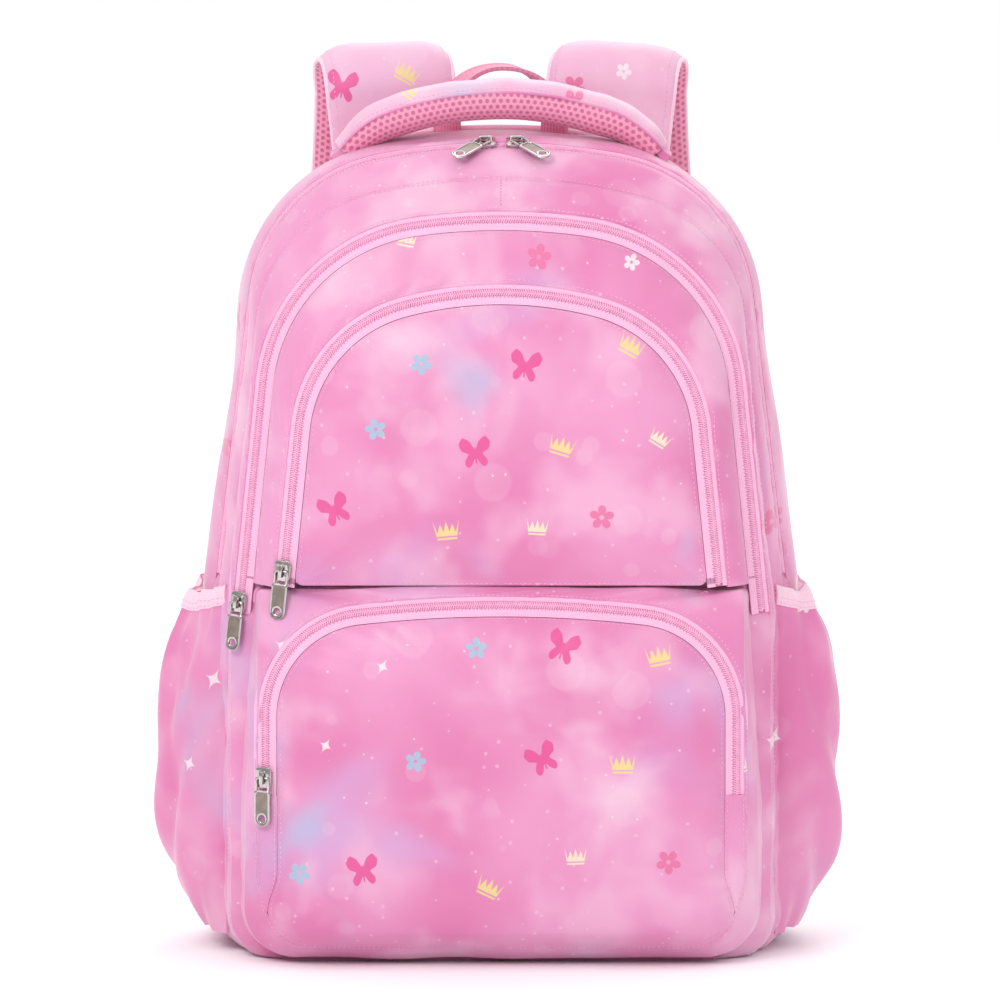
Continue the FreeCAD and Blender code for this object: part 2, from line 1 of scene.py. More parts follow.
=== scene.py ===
"""The looks of a pink school backpack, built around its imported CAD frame.

Shapes are worked out in millimetres, with +X to the right, -Y out of the front face and +Z up, and
are turned into metres when a mesh is made. The depths and most arches are those of the CAD part. The
main compartment's three arches, its bottom corners and the side pockets are drawn separately: its
shell lies a few millimetres inside the CAD solid.
"""
import math

import bmesh
import bpy
import numpy as np
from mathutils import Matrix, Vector


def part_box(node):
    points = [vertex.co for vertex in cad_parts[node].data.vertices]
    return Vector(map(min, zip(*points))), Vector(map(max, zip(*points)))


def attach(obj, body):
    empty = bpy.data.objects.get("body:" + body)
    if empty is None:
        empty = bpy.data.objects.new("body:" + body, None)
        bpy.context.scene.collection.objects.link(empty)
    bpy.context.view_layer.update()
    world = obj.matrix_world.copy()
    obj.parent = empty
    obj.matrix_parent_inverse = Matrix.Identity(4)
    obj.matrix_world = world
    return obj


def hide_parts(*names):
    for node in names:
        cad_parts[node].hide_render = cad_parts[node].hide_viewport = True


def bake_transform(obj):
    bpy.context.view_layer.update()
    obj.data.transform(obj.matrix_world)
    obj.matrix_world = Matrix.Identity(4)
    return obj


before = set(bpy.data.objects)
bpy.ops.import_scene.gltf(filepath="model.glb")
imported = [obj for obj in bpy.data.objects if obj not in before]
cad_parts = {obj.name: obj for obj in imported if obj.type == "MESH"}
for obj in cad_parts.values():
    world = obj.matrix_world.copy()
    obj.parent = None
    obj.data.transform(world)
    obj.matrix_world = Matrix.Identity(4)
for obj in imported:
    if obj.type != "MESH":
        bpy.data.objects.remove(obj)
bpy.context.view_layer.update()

MM = 0.001

# ---- driving dimensions in millimetres -----------------------------------------------------------
FOLD_Z = 182.0
POCKET_TOP = 200.0
FLAP_Z = 203.0
LEAN = 0.1
CORNER = 23.0
BASE_HALF = 112.4
Y_BACK, Y_WIDE = 76.0, 40.0
Y_SEAM, Y_LOWER_BACK = -22.0, -46.0
Y_LOWER_RIM = -60.0
LOWER_END_Z = 88.0
TAPE_HALF = 6.4
HANDLE_Y, HANDLE_RISE, HANDLE_R = 35.0, 448.0, 170.0
STRAP_X, STRAP_HALF, STRAP_SPLAY = 62.0, 34.0, 5.5
STRAP_TOP, STRAP_Y, STRAP_FOLD_R, STRAP_ROOT = 464.0, 110.0, 20.0, 402.0
PULL_HALF, PULL_TOP, PULL_END, PULL_BAR = 4.4, -6.6, -21.5, 0.6  # a pull's tab, below its crossbar
POCKET_FRONT = -19.0  # depth of a side pocket's front seam
HANDLE_SEAM = 24.0  # degrees that the seam between the handle's cover and its mesh stands above its middle
TOP_SAG = 4.5  # how far the bag's top sinks under the handle
STRAP_LEAN = 14.0  # how far inward the root of a strap is sewn on
LOCK_AT, ANCHOR_AT = (88.0, 118.0, 188.0), (122.0, 96.0, 60.0)
# height and reach of a side pocket at its foot, where it is fullest, and at its mouth
POCKET_FOOT, POCKET_FULL, POCKET_MOUTH = (10.0, 157.0), (100.0, 181.0), (196.0, 158.5)

# points along each stretch of an outline, from the bottom's middle to the top's
FLAT, BEND, SHIN, THIGH, SHOULDER, CROWN = 12, 14, 48, 52, 40, 52


# ---- arches --------------------------------------------------------------------------------------
def arc(centre, radius, start, end, count):
    a = np.linspace(start, end, count)
    return np.stack([centre[0] + radius * np.cos(a), centre[1] + radius * np.sin(a)], 1)


def line(start, end, count):
    return np.linspace(start, end, count)


def joined(*runs):
    """Runs of points end to end, without the points that they share."""
    return np.concatenate([runs[0]] + [r[1:] for r in runs[1:]])


class Arch:
    """Legs that lean in above the fold, two shoulder arcs and one crown arc, in the plane of x and z."""

    def __init__(self, foot, top, crown_r, shoulder_r, lean=LEAN, fold=FOLD_Z):
        self.foot, self.top, self.crown_r, self.shoulder_r = foot, top, crown_r, shoulder_r
        self.lean, self.fold = lean, fold
        self.tilt = math.atan(lean)
        self.along = np.array([-math.sin(self.tilt), math.cos(self.tilt)])
        inward = np.array([-math.cos(self.tilt), -math.sin(self.tilt)])
        self.centre = np.array([0.0, top - crown_r])
        start = np.array([foot, fold])
        reach = start + inward * shoulder_r - self.centre
        half = -reach @ self.along
        climb = half + math.sqrt(half ** 2 - reach @ reach + (crown_r - shoulder_r) ** 2)
        self.spring = start + self.along * climb
        self.shoulder = self.spring + inward * shoulder_r
        out = self.shoulder - self.centre
        self.turn = math.atan2(out[1], out[0])

    def offset(self, d):
        foot = self.foot + d * math.sqrt(1 + self.lean ** 2)
        return Arch(foot, self.top + d, self.crown_r + d, self.shoulder_r + d, self.lean, self.fold)

    def leg_x(self, z):
        return self.foot - self.lean * (z - self.fold)

    def rise(self):
        """Shoulder and crown, from the right leg's spring to the top's middle."""
        return joined(arc(self.shoulder, self.shoulder_r, self.tilt, self.turn, SHOULDER),
                      arc(self.centre, self.crown_r, self.turn, math.pi / 2, CROWN))

    def over(self, z_end):
        """From the right leg at z_end over the top to the left leg at z_end."""
        right = joined(line((self.leg_x(z_end), z_end), self.spring, THIGH), self.rise())
        return both_sides(right)

    def outline(self, bottom, corner, x_start=0.0):
        """From x_start at the bottom round the right side, over the top and round the left side."""
        toe = bottom + corner
        x = self.leg_x(max(toe, self.fold))
        start = min(x_start, x - corner)
        hip = max(toe + 1, self.fold)
        right = joined(line((start, bottom), (x - corner, bottom), FLAT),
                       arc((x - corner, toe), corner, -math.pi / 2, 0, BEND),
                       line((x, toe), (self.leg_x(hip), hip), SHIN),
                       line((self.leg_x(hip), hip), self.spring, THIGH),
                       self.rise())
        return both_sides(right)


def both_sides(right):
    """A right half that ends at the top's middle, and its mirror image after it."""
    left = right[-2::-1] * np.array([-1, 1])
    return np.concatenate([right, left])


MAIN_BACK = Arch(151.0, 426, 440, 104, 0.115)
MAIN_WIDE = Arch(154.3, 431, 340, 106, 0.112)
MAIN_ZIP = Arch(150.6, 426.5, 340, 84, 0.115)
SEAM = Arch(143.5, 412, 290, 72)
MIDDLE_ZIP = Arch(137.8, 393, 320, 94)
FRONT_ZIP = Arch(116.8, 357, 200, 75)
LOWER_ZIP = Arch(124, 192.5, 660, 55, 0.0, LOWER_END_Z)
POCKET_SEAM = Arch(137, POCKET_TOP, 4000, 4, 0.072, LOWER_END_Z)

# arch, depth of the chain's middle, tilt of its face away from straight forward, lower end
ZIPS = {
    "main": (MAIN_ZIP, 2.0, 70.0, 199.0),
    "middle": (MIDDLE_ZIP, -41.0, 32.0, 184.0),
    "front": (FRONT_ZIP, -64.0, 22.0, 201.2),
    "lower": (LOWER_ZIP, -73.0, 24.0, 90.0),
}
# where the cloth beside a zip ends, measured from the chain's middle across the zip, and how far it stands up
EDGE_OUT, EDGE_IN, EDGE_UP = 4.6, -7.0, 0.7
MAIN_LIP = 3.5  # the same for both sides of the main zip


def beside_zip(name, across):
    """The arch and the depth of a cloth edge that lies across from a zip's chain."""
    arch, y, tilt, _ = ZIPS[name]
    a = math.radians(tilt)
    return (arch.offset(across * math.cos(a) + EDGE_UP * math.sin(a)),
            y + across * math.sin(a) - EDGE_UP * math.cos(a))


# ---- cloth shapes --------------------------------------------------------------------------------
def at_depth(flat, y):
    """Points of the plane of x and z, set at depth y."""
    return np.stack([flat[:, 0], np.full(len(flat), float(y)), flat[:, 1]], 1)


def graded(count):
    """Steps from 0 to 1, closer together at both ends."""
    return 0.5 - 0.5 * np.cos(np.linspace(0, math.pi, count))


def between(edges, counts):
    """A grid from one edge line to the next: counts holds the rows from each edge to the one after."""
    rows = []
    for first, last, count in zip(edges, edges[1:], counts):
        steps = graded(count)[:, None, None]
        grid = first[None] * (1 - steps) + last[None] * steps
        rows.append(grid if not rows else grid[1:])
    return np.concatenate(rows)


def through_three(edges, depths, count):
    """A grid on the smooth curve through three edge lines at their depths."""
    y = np.interp(graded(count), [0, 1], [depths[0], depths[2]])[:, None, None]
    a, b, c = depths
    return (edges[0] * (y - b) * (y - c) / ((a - b) * (a - c))
            + edges[1] * (y - a) * (y - c) / ((b - a) * (b - c))
            + edges[2] * (y - a) * (y - b) / ((c - a) * (c - b)))


def ripple(points, size, seed, count=9):
    """A smooth random field of about -1 to 1, whose bumps are about size apart."""
    random = np.random.default_rng(seed)
    way = random.normal(size=(count, points.shape[-1]))
    way /= np.linalg.norm(way, axis=1)[:, None]
    pitch = 2 * math.pi / (size * random.uniform(0.75, 1.7, count))
    phase = random.uniform(0, 2 * math.pi, count)
    return np.sin(points @ (way * pitch[:, None]).T + phase).sum(-1) / math.sqrt(count)


def grid_normals(grid, closed=False):
    """Unit normals of a grid, from the differences to its neighbours."""
    if closed:
        ahead = np.roll(grid, -1, 1) - np.roll(grid, 1, 1)
    else:
        ahead = np.gradient(grid, axis=1)
    across = np.gradient(grid, axis=0)
    n = np.cross(ahead, across)
    return n / np.maximum(np.linalg.norm(n, axis=-1, keepdims=True), 1e-9)


def run_lengths(grid, axis):
    """Distance travelled along one axis of a grid, from its first line."""
    step = np.linalg.norm(np.diff(grid, axis=axis), axis=-1)
    start = np.zeros_like(np.take(step, [0], axis))
    return np.concatenate([start, np.cumsum(step, axis)], axis)


def shaped(grid, seed, puff=0.0, reach=14.0, pucker=0.0, pitch=13.0, fade=9.0, billow=0.0, size=70.0,
           hold=(True, True), closed=False, outward=None):
    """Puffs a grid out between its first and last rows, with puckers that fade away from the held
    rows and a broad unevenness. Returns the grid and its normals."""
    n = grid_normals(grid, closed)
    if outward is not None and (n * outward).sum() < 0:
        n = -n
    across = run_lengths(grid, 0)
    far = across[-1:] - across
    along = run_lengths(grid, 1)
    rise = np.ones(across.shape)
    crease = np.zeros(across.shape)
    for held, d in zip(hold, (across, far)):
        if held:
            rise = rise * np.tanh(d / reach)
            crease = np.maximum(crease, np.exp(-d / fade) * np.minimum(d / 2.0, 1.0))
    lift = puff * rise
    lift = lift + pucker * crease * ripple(np.stack([along, across * 0.25], -1), pitch, seed)
    lift = lift + billow * rise * ripple(grid, size, seed + 1)
    moved = grid + n * lift[..., None]
    moved[..., 2] = np.maximum(moved[..., 2], np.minimum(grid[..., 2], 1.0))
    again = grid_normals(moved, closed)
    if (again * n).sum() < 0:
        again = -again
    return moved, again


class Mesh:
    """Gathers the points and faces of one piece. Each face has a kind, the number of its material."""

    def __init__(self):
        self.points, self.cloth, self.faces, self.kinds = [], [], [], []
        self.count = 0

    def add(self, points, faces, kind=0, cloth=None):
        points = np.asarray(points, float).reshape(-1, 3)
        if cloth is None:
            cloth = points
        self.points.append(points)
        self.cloth.append(np.asarray(cloth, float).reshape(-1, 3))
        self.faces += [tuple(int(i) + self.count for i in f) for f in faces]
        self.kinds += [kind] * len(faces)
        self.count += len(points)

    def grid(self, grid, closed=False, kind=0, cloth=None):
        """One open surface."""
        rows, columns = grid.shape[:2]
        number = np.arange(rows * columns).reshape(rows, columns)
        if closed:
            number = np.concatenate([number, number[:, :1]], 1)
        faces = np.stack([number[:-1, :-1], number[:-1, 1:], number[1:, 1:], number[1:, :-1]], -1)
        self.add(grid, faces.reshape(-1, 4), kind, cloth)

    def sheet(self, grid, normals, thick, closed=False, kinds=(0, 1), cloth=None, last_edge=True):
        """Cloth with two sides: the grid, and its copy thick behind it, with their edges closed. The last
        row has no edge where it is a fold that the cloth meets itself in."""
        rows, columns = grid.shape[:2]
        size = rows * columns
        number = np.arange(size).reshape(rows, columns)
        if closed:
            number = np.concatenate([number, number[:, :1]], 1)
        quads = np.stack([number[:-1, :-1], number[:-1, 1:], number[1:, 1:], number[1:, :-1]], -1)
        quads = quads.reshape(-1, 4)
        sides = [(number[0, :-1], number[0, 1:])]
        if last_edge:
            sides.append((number[-1, 1:], number[-1, :-1]))
        if not closed:
            sides += [(number[1:, 0], number[:-1, 0]), (number[:-1, -1], number[1:, -1])]
        a, b = (np.concatenate(ends) for ends in zip(*sides))
        rim = np.stack([b, a, a + size, b + size], -1)
        probe = quads[len(quads) // 2]
        flat = grid.reshape(-1, 3)
        facing = np.cross(flat[probe[1]] - flat[probe[0]], flat[probe[3]] - flat[probe[0]])
        turned = facing @ normals.reshape(-1, 3)[probe[0]] < 0
        both = np.concatenate([flat, (grid - normals * thick).reshape(-1, 3)])
        if cloth is not None:
            cloth = np.concatenate([np.reshape(cloth, (-1, 3))] * 2)
        start = self.count
        self.add(both, quads[:, ::-1] if turned else quads, kinds[0], cloth)
        self.count = start
        inner = quads + size
        self.faces += [tuple(int(i) + start for i in f) for f in (inner if turned else inner[:, ::-1])]
        self.kinds += [kinds[1]] * len(inner)
        self.faces += [tuple(int(i) + start for i in f) for f in (rim[:, ::-1] if turned else rim)]
        self.kinds += [kinds[0]] * len(rim)
        self.count = start + 2 * size

    def stitches(self, path, normals, kind=2, pitch=2.6, long=1.8, half=0.22, proud=0.22):
        """A row of sewn stitches along a path that lies on the cloth."""
        s = run_lengths(path[None], 1)[0]
        starts = np.arange(pitch, s[-1] - pitch, pitch)
        if not len(starts):
            return
        at = np.stack([np.interp(starts, s, path[:, i]) for i in range(3)], -1)
        up = np.stack([np.interp(starts, s, normals[:, i]) for i in range(3)], -1)
        way = np.stack([np.interp(starts + 0.5, s, path[:, i]) for i in range(3)], -1) - at
        way /= np.maximum(np.linalg.norm(way, axis=-1, keepdims=True), 1e-9)
        side = np.cross(up, way)
        lift = up * proud
        corners = [at - way * long / 2 - up * 0.2, at - way * long / 4 - side * half + lift * 0.5,
                   at - way * long / 4 + side * half + lift * 0.5, at - way * long / 4 + lift * 1.4,
                   at + way * long / 4 - side * half + lift * 0.5,
                   at + way * long / 4 + side * half + lift * 0.5,
                   at + way * long / 4 + lift * 1.4, at + way * long / 2 - up * 0.2]
        points = np.stack(corners, 1).reshape(-1, 3)
        shape = [(0, 3, 1), (0, 2, 3), (1, 3, 6, 4), (3, 2, 5, 6), (4, 6, 7), (6, 5, 7)]
        for i in range(len(starts)):
            self.faces += [tuple(self.count + 8 * i + j for j in f) for f in shape]
            self.kinds += [kind] * len(shape)
        self.points.append(points)
        self.cloth.append(points)
        self.count += len(points)

    def tube(self, path, radius, kind=0, sides=8, closed=False, squash=1.0):
        """A round cord along a path; squash flattens it in its second direction."""
        tangent = np.gradient(path, axis=0)
        tangent /= np.maximum(np.linalg.norm(tangent, axis=-1, keepdims=True), 1e-9)
        up = np.cross(tangent, np.roll(tangent, 1, -1) + 0.31)
        first = up[0]
        ups = []
        for t in tangent:
            first = first - t * (first @ t)
            first = first / max(np.linalg.norm(first), 1e-9)
            ups.append(first)
        ups = np.array(ups)
        side = np.cross(tangent, ups)
        a = np.linspace(0, 2 * math.pi, sides, endpoint=False)
        ring = ups[:, None] * np.cos(a)[None, :, None] + side[:, None] * np.sin(a)[None, :, None] * squash
        self.grid(path[:, None] + ring * radius, closed=True, kind=kind)
        if not closed:
            for row in (range(sides), range(sides - 1, -1, -1)):
                base = 0 if row == range(sides) else (len(path) - 1) * sides
                order = [self.count - len(path) * sides + base + i for i in row]
                self.faces.append(tuple(order))
                self.kinds.append(kind)

    def build(self, name, materials, smooth=42.0, weld=0.0):
        """Makes the object, in metres, with the rest place and the cloth's own directions stored."""
        points = np.concatenate(self.points) * MM
        cloth = np.concatenate(self.cloth) * MM
        mesh = bpy.data.meshes.new(name)
        mesh.from_pydata(points.tolist(), [], self.faces)
        for material in materials:
            mesh.materials.append(material)
        mesh.polygons.foreach_set("material_index", self.kinds)
        for label, values in (("rest", points), ("cloth", cloth)):
            attribute = mesh.attributes.new(label, "FLOAT_VECTOR", "POINT")
            attribute.data.foreach_set("vector", values.astype(np.float32).ravel())
        if weld:
            work = bmesh.new()
            work.from_mesh(mesh)
            bmesh.ops.remove_doubles(work, verts=work.verts, dist=weld * MM)
            bmesh.ops.dissolve_degenerate(work, edges=work.edges, dist=1e-6)
            work.to_mesh(mesh)
            work.free()
        mesh.validate()
        mesh.polygons.foreach_set("use_smooth", [True] * len(mesh.polygons))
        mesh.set_sharp_from_angle(angle=math.radians(smooth))
        thing = bpy.data.objects.new(name, mesh)
        bpy.context.scene.collection.objects.link(thing)
        return thing


# ---- materials -----------------------------------------------------------------------------------
def rgb(r, g, b):
    """An sRGB colour of 0 to 255 as the linear colour that a shader takes."""
    def linear(c):
        c = c / 255
        return c / 12.92 if c <= 0.04045 else ((c + 0.055) / 1.055) ** 2.4
    return (linear(r), linear(g), linear(b), 1.0)


class Graph:
    """Short ways to add nodes to a material or a group."""

    def __init__(self, tree):
        self.tree = tree

    def add(self, kind, inputs=None, **settings):
        made = self.tree.nodes.new(kind)
        for key, value in settings.items():
            setattr(made, key, value)
        for key, value in (inputs or {}).items():
            self.put(made.inputs[key], value)
        return made

    def put(self, socket, value):
        if isinstance(value, bpy.types.NodeSocket):
            self.tree.links.new(value, socket)
        else:
            socket.default_value = value

    def math(self, operation, a, b=0.5, c=0.5, clamp=False):
        made = self.add("ShaderNodeMath", {0: a, 1: b, 2: c}, operation=operation, use_clamp=clamp)
        return made.outputs[0]

    def mix(self, factor, a, b, blend="MIX"):
        made = self.add("ShaderNodeMix", {0: factor, 6: a, 7: b}, data_type="RGBA", blend_type=blend)
        return made.outputs[2]

    def vector(self, operation, a, b=(0, 0, 0)):
        made = self.add("ShaderNodeVectorMath", {0: a, 1: b}, operation=operation)
        return made.outputs[0]

    def noise(self, at, scale, detail=2.0, rough=0.5, distortion=0.0):
        made = self.add("ShaderNodeTexNoise", {"Vector": at, "Scale": scale, "Detail": detail,
                                               "Roughness": rough, "Distortion": distortion})
        return made.outputs[0]

    def step(self, value, low, high):
        """0 below low, 1 above high and smooth between; low may be the larger."""
        made = self.add("ShaderNodeMapRange", {"Value": value, "From Min": low, "From Max": high},
                        interpolation_type="SMOOTHSTEP")
        return made.outputs[0]


def group(name, inputs, outputs):
    """A new node group; inputs and outputs are (name, socket type) pairs."""
    tree = bpy.data.node_groups.new(name, "ShaderNodeTree")
    for direction, sockets in (("INPUT", inputs), ("OUTPUT", outputs)):
        for label, kind in sockets:
            tree.interface.new_socket(label, in_out=direction, socket_type=kind)
    graph = Graph(tree)
    return graph, graph.add("NodeGroupInput"), graph.add("NodeGroupOutput")


VALUE, VECTOR, COLOUR = "NodeSocketFloat", "NodeSocketVector", "NodeSocketColor"


def motif_group(name, curve, shape):
    """A group that gives the mask of one printed motif. shape(graph, x, y, radius, curve value) makes
    the mask from unit coordinates; curve lists (place, height) for a curve over the angle or over |x|."""
    g, given, result = group(name, [("At", VECTOR), ("Centre", VECTOR), ("Turn", VALUE), ("Size", VECTOR)],
                             [("Mask", VALUE)])
    moved = g.vector("SUBTRACT", given.outputs["At"], given.outputs["Centre"])
    turned = g.add("ShaderNodeVectorRotate", {"Vector": moved, "Angle": given.outputs["Turn"]},
                   rotation_type="Z_AXIS").outputs[0]
    unit = g.vector("DIVIDE", turned, given.outputs["Size"])
    split = g.add("ShaderNodeSeparateXYZ", {0: unit})
    x, y = split.outputs[0], split.outputs[1]
    radius = g.add("ShaderNodeVectorMath", {0: unit}, operation="LENGTH").outputs["Value"]
    side = g.math("ABSOLUTE", x)
    if curve:
        place = side
        if name != "crown":
            place = g.math("MULTIPLY_ADD", g.math("ARCTAN2", y, side), 1 / math.pi, 0.5)
        float_curve = g.add("ShaderNodeFloatCurve", {"Value": place})
        points = float_curve.mapping.curves[0].points
        points[0].location = curve[0]
        points[1].location = curve[-1]
        for spot in curve[1:-1]:
            points.new(*spot)
        for point in points:
            sharp = name == "crown" or point.location[1] > 0.985
            point.handle_type = "VECTOR" if sharp else "AUTO"
        float_curve.mapping.update()
        height = float_curve.outputs[0]
    else:
        height = None
    g.put(result.inputs["Mask"], shape(g, side, y, radius, height))
    return g.tree


def butterfly_shape(g, side, y, radius, height):
    return g.math("MULTIPLY", g.math("SUBTRACT", height, radius), 18.0, clamp=True)


def crown_shape(g, side, y, radius, height):
    top = g.math("SUBTRACT", g.math("MULTIPLY_ADD", height, 1.5, -0.55), y)
    base = g.math("ADD", y, 0.62)
    flank = g.math("SUBTRACT", g.math("MULTIPLY_ADD", y, 0.16, 0.92), side)
    body = g.math("MINIMUM", g.math("MINIMUM", top, base), flank)
    band = g.math("SUBTRACT", g.math("ABSOLUTE", g.math("ADD", y, 0.36)), 0.05)
    return g.math("MULTIPLY", g.math("MINIMUM", body, band), 22.0, clamp=True)


def flower_shape(g, side, y, radius, height):
    angle = g.math("MULTIPLY", g.math("ARCTAN2", y, side), 2.5)
    petal = g.math("POWER", g.math("ABSOLUTE", g.math("COSINE", g.math("ADD", angle, -math.pi / 4))), 0.6)
    edge = g.math("MULTIPLY_ADD", petal, 0.62, 0.36)
    eye = g.math("SUBTRACT", radius, 0.14)
    return g.math("MULTIPLY", g.math("MINIMUM", g.math("SUBTRACT", edge, radius), eye), 14.0, clamp=True)


def sparkle_shape(g, side, y, radius, height):
    reach = g.math("ADD", g.math("SQRT", side), g.math("SQRT", g.math("ABSOLUTE", y)))
    return g.math("MULTIPLY", g.math("SUBTRACT", 1.0, reach), 9.0, clamp=True)


MOTIFS = {
    "butterfly": motif_group("butterfly", [(0, 0.56), (0.03, 0.5), (0.06, 0.3), (0.13, 0.6), (0.22, 0.84),
                                           (0.3, 0.78), (0.4, 0.5), (0.46, 0.42), (0.56, 0.78), (0.66, 1.0),
                                           (0.78, 0.99), (0.86, 0.62), (0.93, 0.24), (0.97, 0.26), (1, 0.34)],
                             butterfly_shape),
    "crown": motif_group("crown", [(0, 1.0), (0.24, 0.42), (0.5, 0.86), (0.74, 0.36), (1, 0.92)],
                         crown_shape),
    "flower": motif_group("flower", None, flower_shape),
    "sparkle": motif_group("sparkle", None, sparkle_shape),
}

HOT, CORAL = rgb(240, 84, 160), rgb(240, 122, 172)
YELLOW, CREAM, WHITE, SKY = rgb(250, 232, 150), rgb(252, 244, 212), rgb(255, 240, 248), rgb(172, 206, 232)


PRINT_DEPTH = (0.81, 0.79, 0.78, 1.0)


def tie_dye():
    """Cloudy pinks with lavender, pale blue and white patches, soft light discs and small sparks."""
    g, given, result = group("tie_dye", [("At", VECTOR)], [("Colour", COLOUR)])
    at = given.outputs["At"]
    broad = g.noise(at, 11.0, 2.0, 0.45, 0.15)
    fine = g.noise(g.vector("ADD", at, (3.1, 1.7, 0.4)), 24.0, 2.0, 0.45, 0.2)
    colour = g.mix(g.step(broad, 0.34, 0.66), rgb(236, 134, 190), rgb(245, 163, 211))
    colour = g.mix(g.math("MULTIPLY", g.step(fine, 0.46, 0.72), 0.7), colour, rgb(252, 194, 228))
    patch = g.noise(g.vector("ADD", at, (7.3, 2.2, 5.1)), 9.0, 2.0, 0.5, 0.4)
    colour = g.mix(g.math("MULTIPLY", g.step(patch, 0.58, 0.74), 0.75), colour, rgb(222, 176, 228))
    patch = g.noise(g.vector("ADD", at, (1.9, 8.8, 3.3)), 12.0, 2.0, 0.5, 0.4)
    colour = g.mix(g.math("MULTIPLY", g.step(patch, 0.62, 0.76), 0.8), colour, rgb(190, 198, 236))
    haze = g.noise(g.vector("ADD", at, (4.4, 6.1, 9.7)), 14.0, 3.0, 0.5, 0.3)
    colour = g.mix(g.math("MULTIPLY", g.step(haze, 0.52, 0.76), 0.6), colour, rgb(254, 220, 241))
    discs = ((26.0, 0.30, 0.14, 0.0), (44.0, 0.26, 0.14, 4.7), (150.0, 0.16, 0.4, 2.1))
    for scale, size, share, shift in discs:
        cells = g.add("ShaderNodeTexVoronoi", {"Vector": g.vector("ADD", at, (shift, shift, shift)),
                                               "Scale": scale, "Randomness": 0.9})
        chosen = g.step(g.add("ShaderNodeSeparateColor", {0: cells.outputs["Color"]}).outputs[0], 0.62, 0.8)
        disc = g.step(cells.outputs["Distance"], size, size * 0.82)
        strength = g.math("MULTIPLY", g.math("MULTIPLY", disc, chosen), share)
        colour = g.mix(strength, colour, rgb(255, 226, 244))
    cells = g.add("ShaderNodeTexVoronoi", {"Vector": at, "Scale": 85.0, "Randomness": 1.0})
    spark = g.math("MULTIPLY", g.step(cells.outputs["Distance"], 0.08, 0.03), 0.6)
    colour = g.mix(spark, colour, rgb(255, 246, 252))
    g.put(result.inputs["Colour"], colour)
    return g.tree


TIE_DYE = tie_dye()


def scaled(colour, share):
    """A colour made lighter or darker, at most full in each channel."""
    return tuple(min(c * share, 1) for c in colour[:3]) + (1.0,)


def new_material(name):
    material = bpy.data.materials.new(name)
    material.use_nodes = True
    material.node_tree.nodes.clear()
    g = Graph(material.node_tree)
    return material, g


def coordinates(g, label):
    """Where the pattern lies: a stored place, or the object's own for a CAD node."""
    if label == "object":
        return g.add("ShaderNodeTexCoord").outputs["Object"]
    return g.add("ShaderNodeAttribute", attribute_name=label).outputs["Vector"]


def finish_surface(g, colour, height, rough, sheen=0.25, metal=0.0, depth=0.0002, spec=0.5, sheen_rough=0.45,
                   coat=0.0):
    """The surface and its output; height gives a bump that is depth metres high."""
    shader = g.add("ShaderNodeBsdfPrincipled", {"Base Color": colour, "Roughness": rough, "Metallic": metal,
                                                "Sheen Weight": sheen, "Sheen Roughness": sheen_rough,
                                                "Specular IOR Level": spec, "Coat Weight": coat})
    if height is not None:
        bump = g.add("ShaderNodeBump", {"Height": height, "Strength": 0.6, "Distance": depth})
        g.put(shader.inputs["Normal"], bump.outputs[0])
    g.add("ShaderNodeOutputMaterial", {"Surface": shader.outputs[0]})


def weave(g, at, pitch):
    """The height of a plain weave of threads that are pitch metres apart."""
    turns = 2 * math.pi / pitch
    split = g.add("ShaderNodeSeparateXYZ", {0: at})
    x, y, z = (g.math("SINE", g.math("MULTIPLY", split.outputs[i], turns)) for i in range(3))
    across = g.math("MULTIPLY", g.math("ADD", x, g.math("MULTIPLY", y, 0.7)), 0.5)
    return g.math("MULTIPLY_ADD", g.math("MULTIPLY", across, z), 0.5, 0.5)


def cloth_height(g, at, pitch, lumps=0.5):
    """A weave with the unevenness of real cloth."""
    slubs = g.noise(at, 420.0, 2.0, 0.6)
    soft = g.noise(at, 60.0, 2.0, 0.5)
    height = g.math("MULTIPLY_ADD", slubs, 0.5, g.math("MULTIPLY", weave(g, at, pitch), 0.6))
    return g.math("MULTIPLY_ADD", soft, lumps, height)


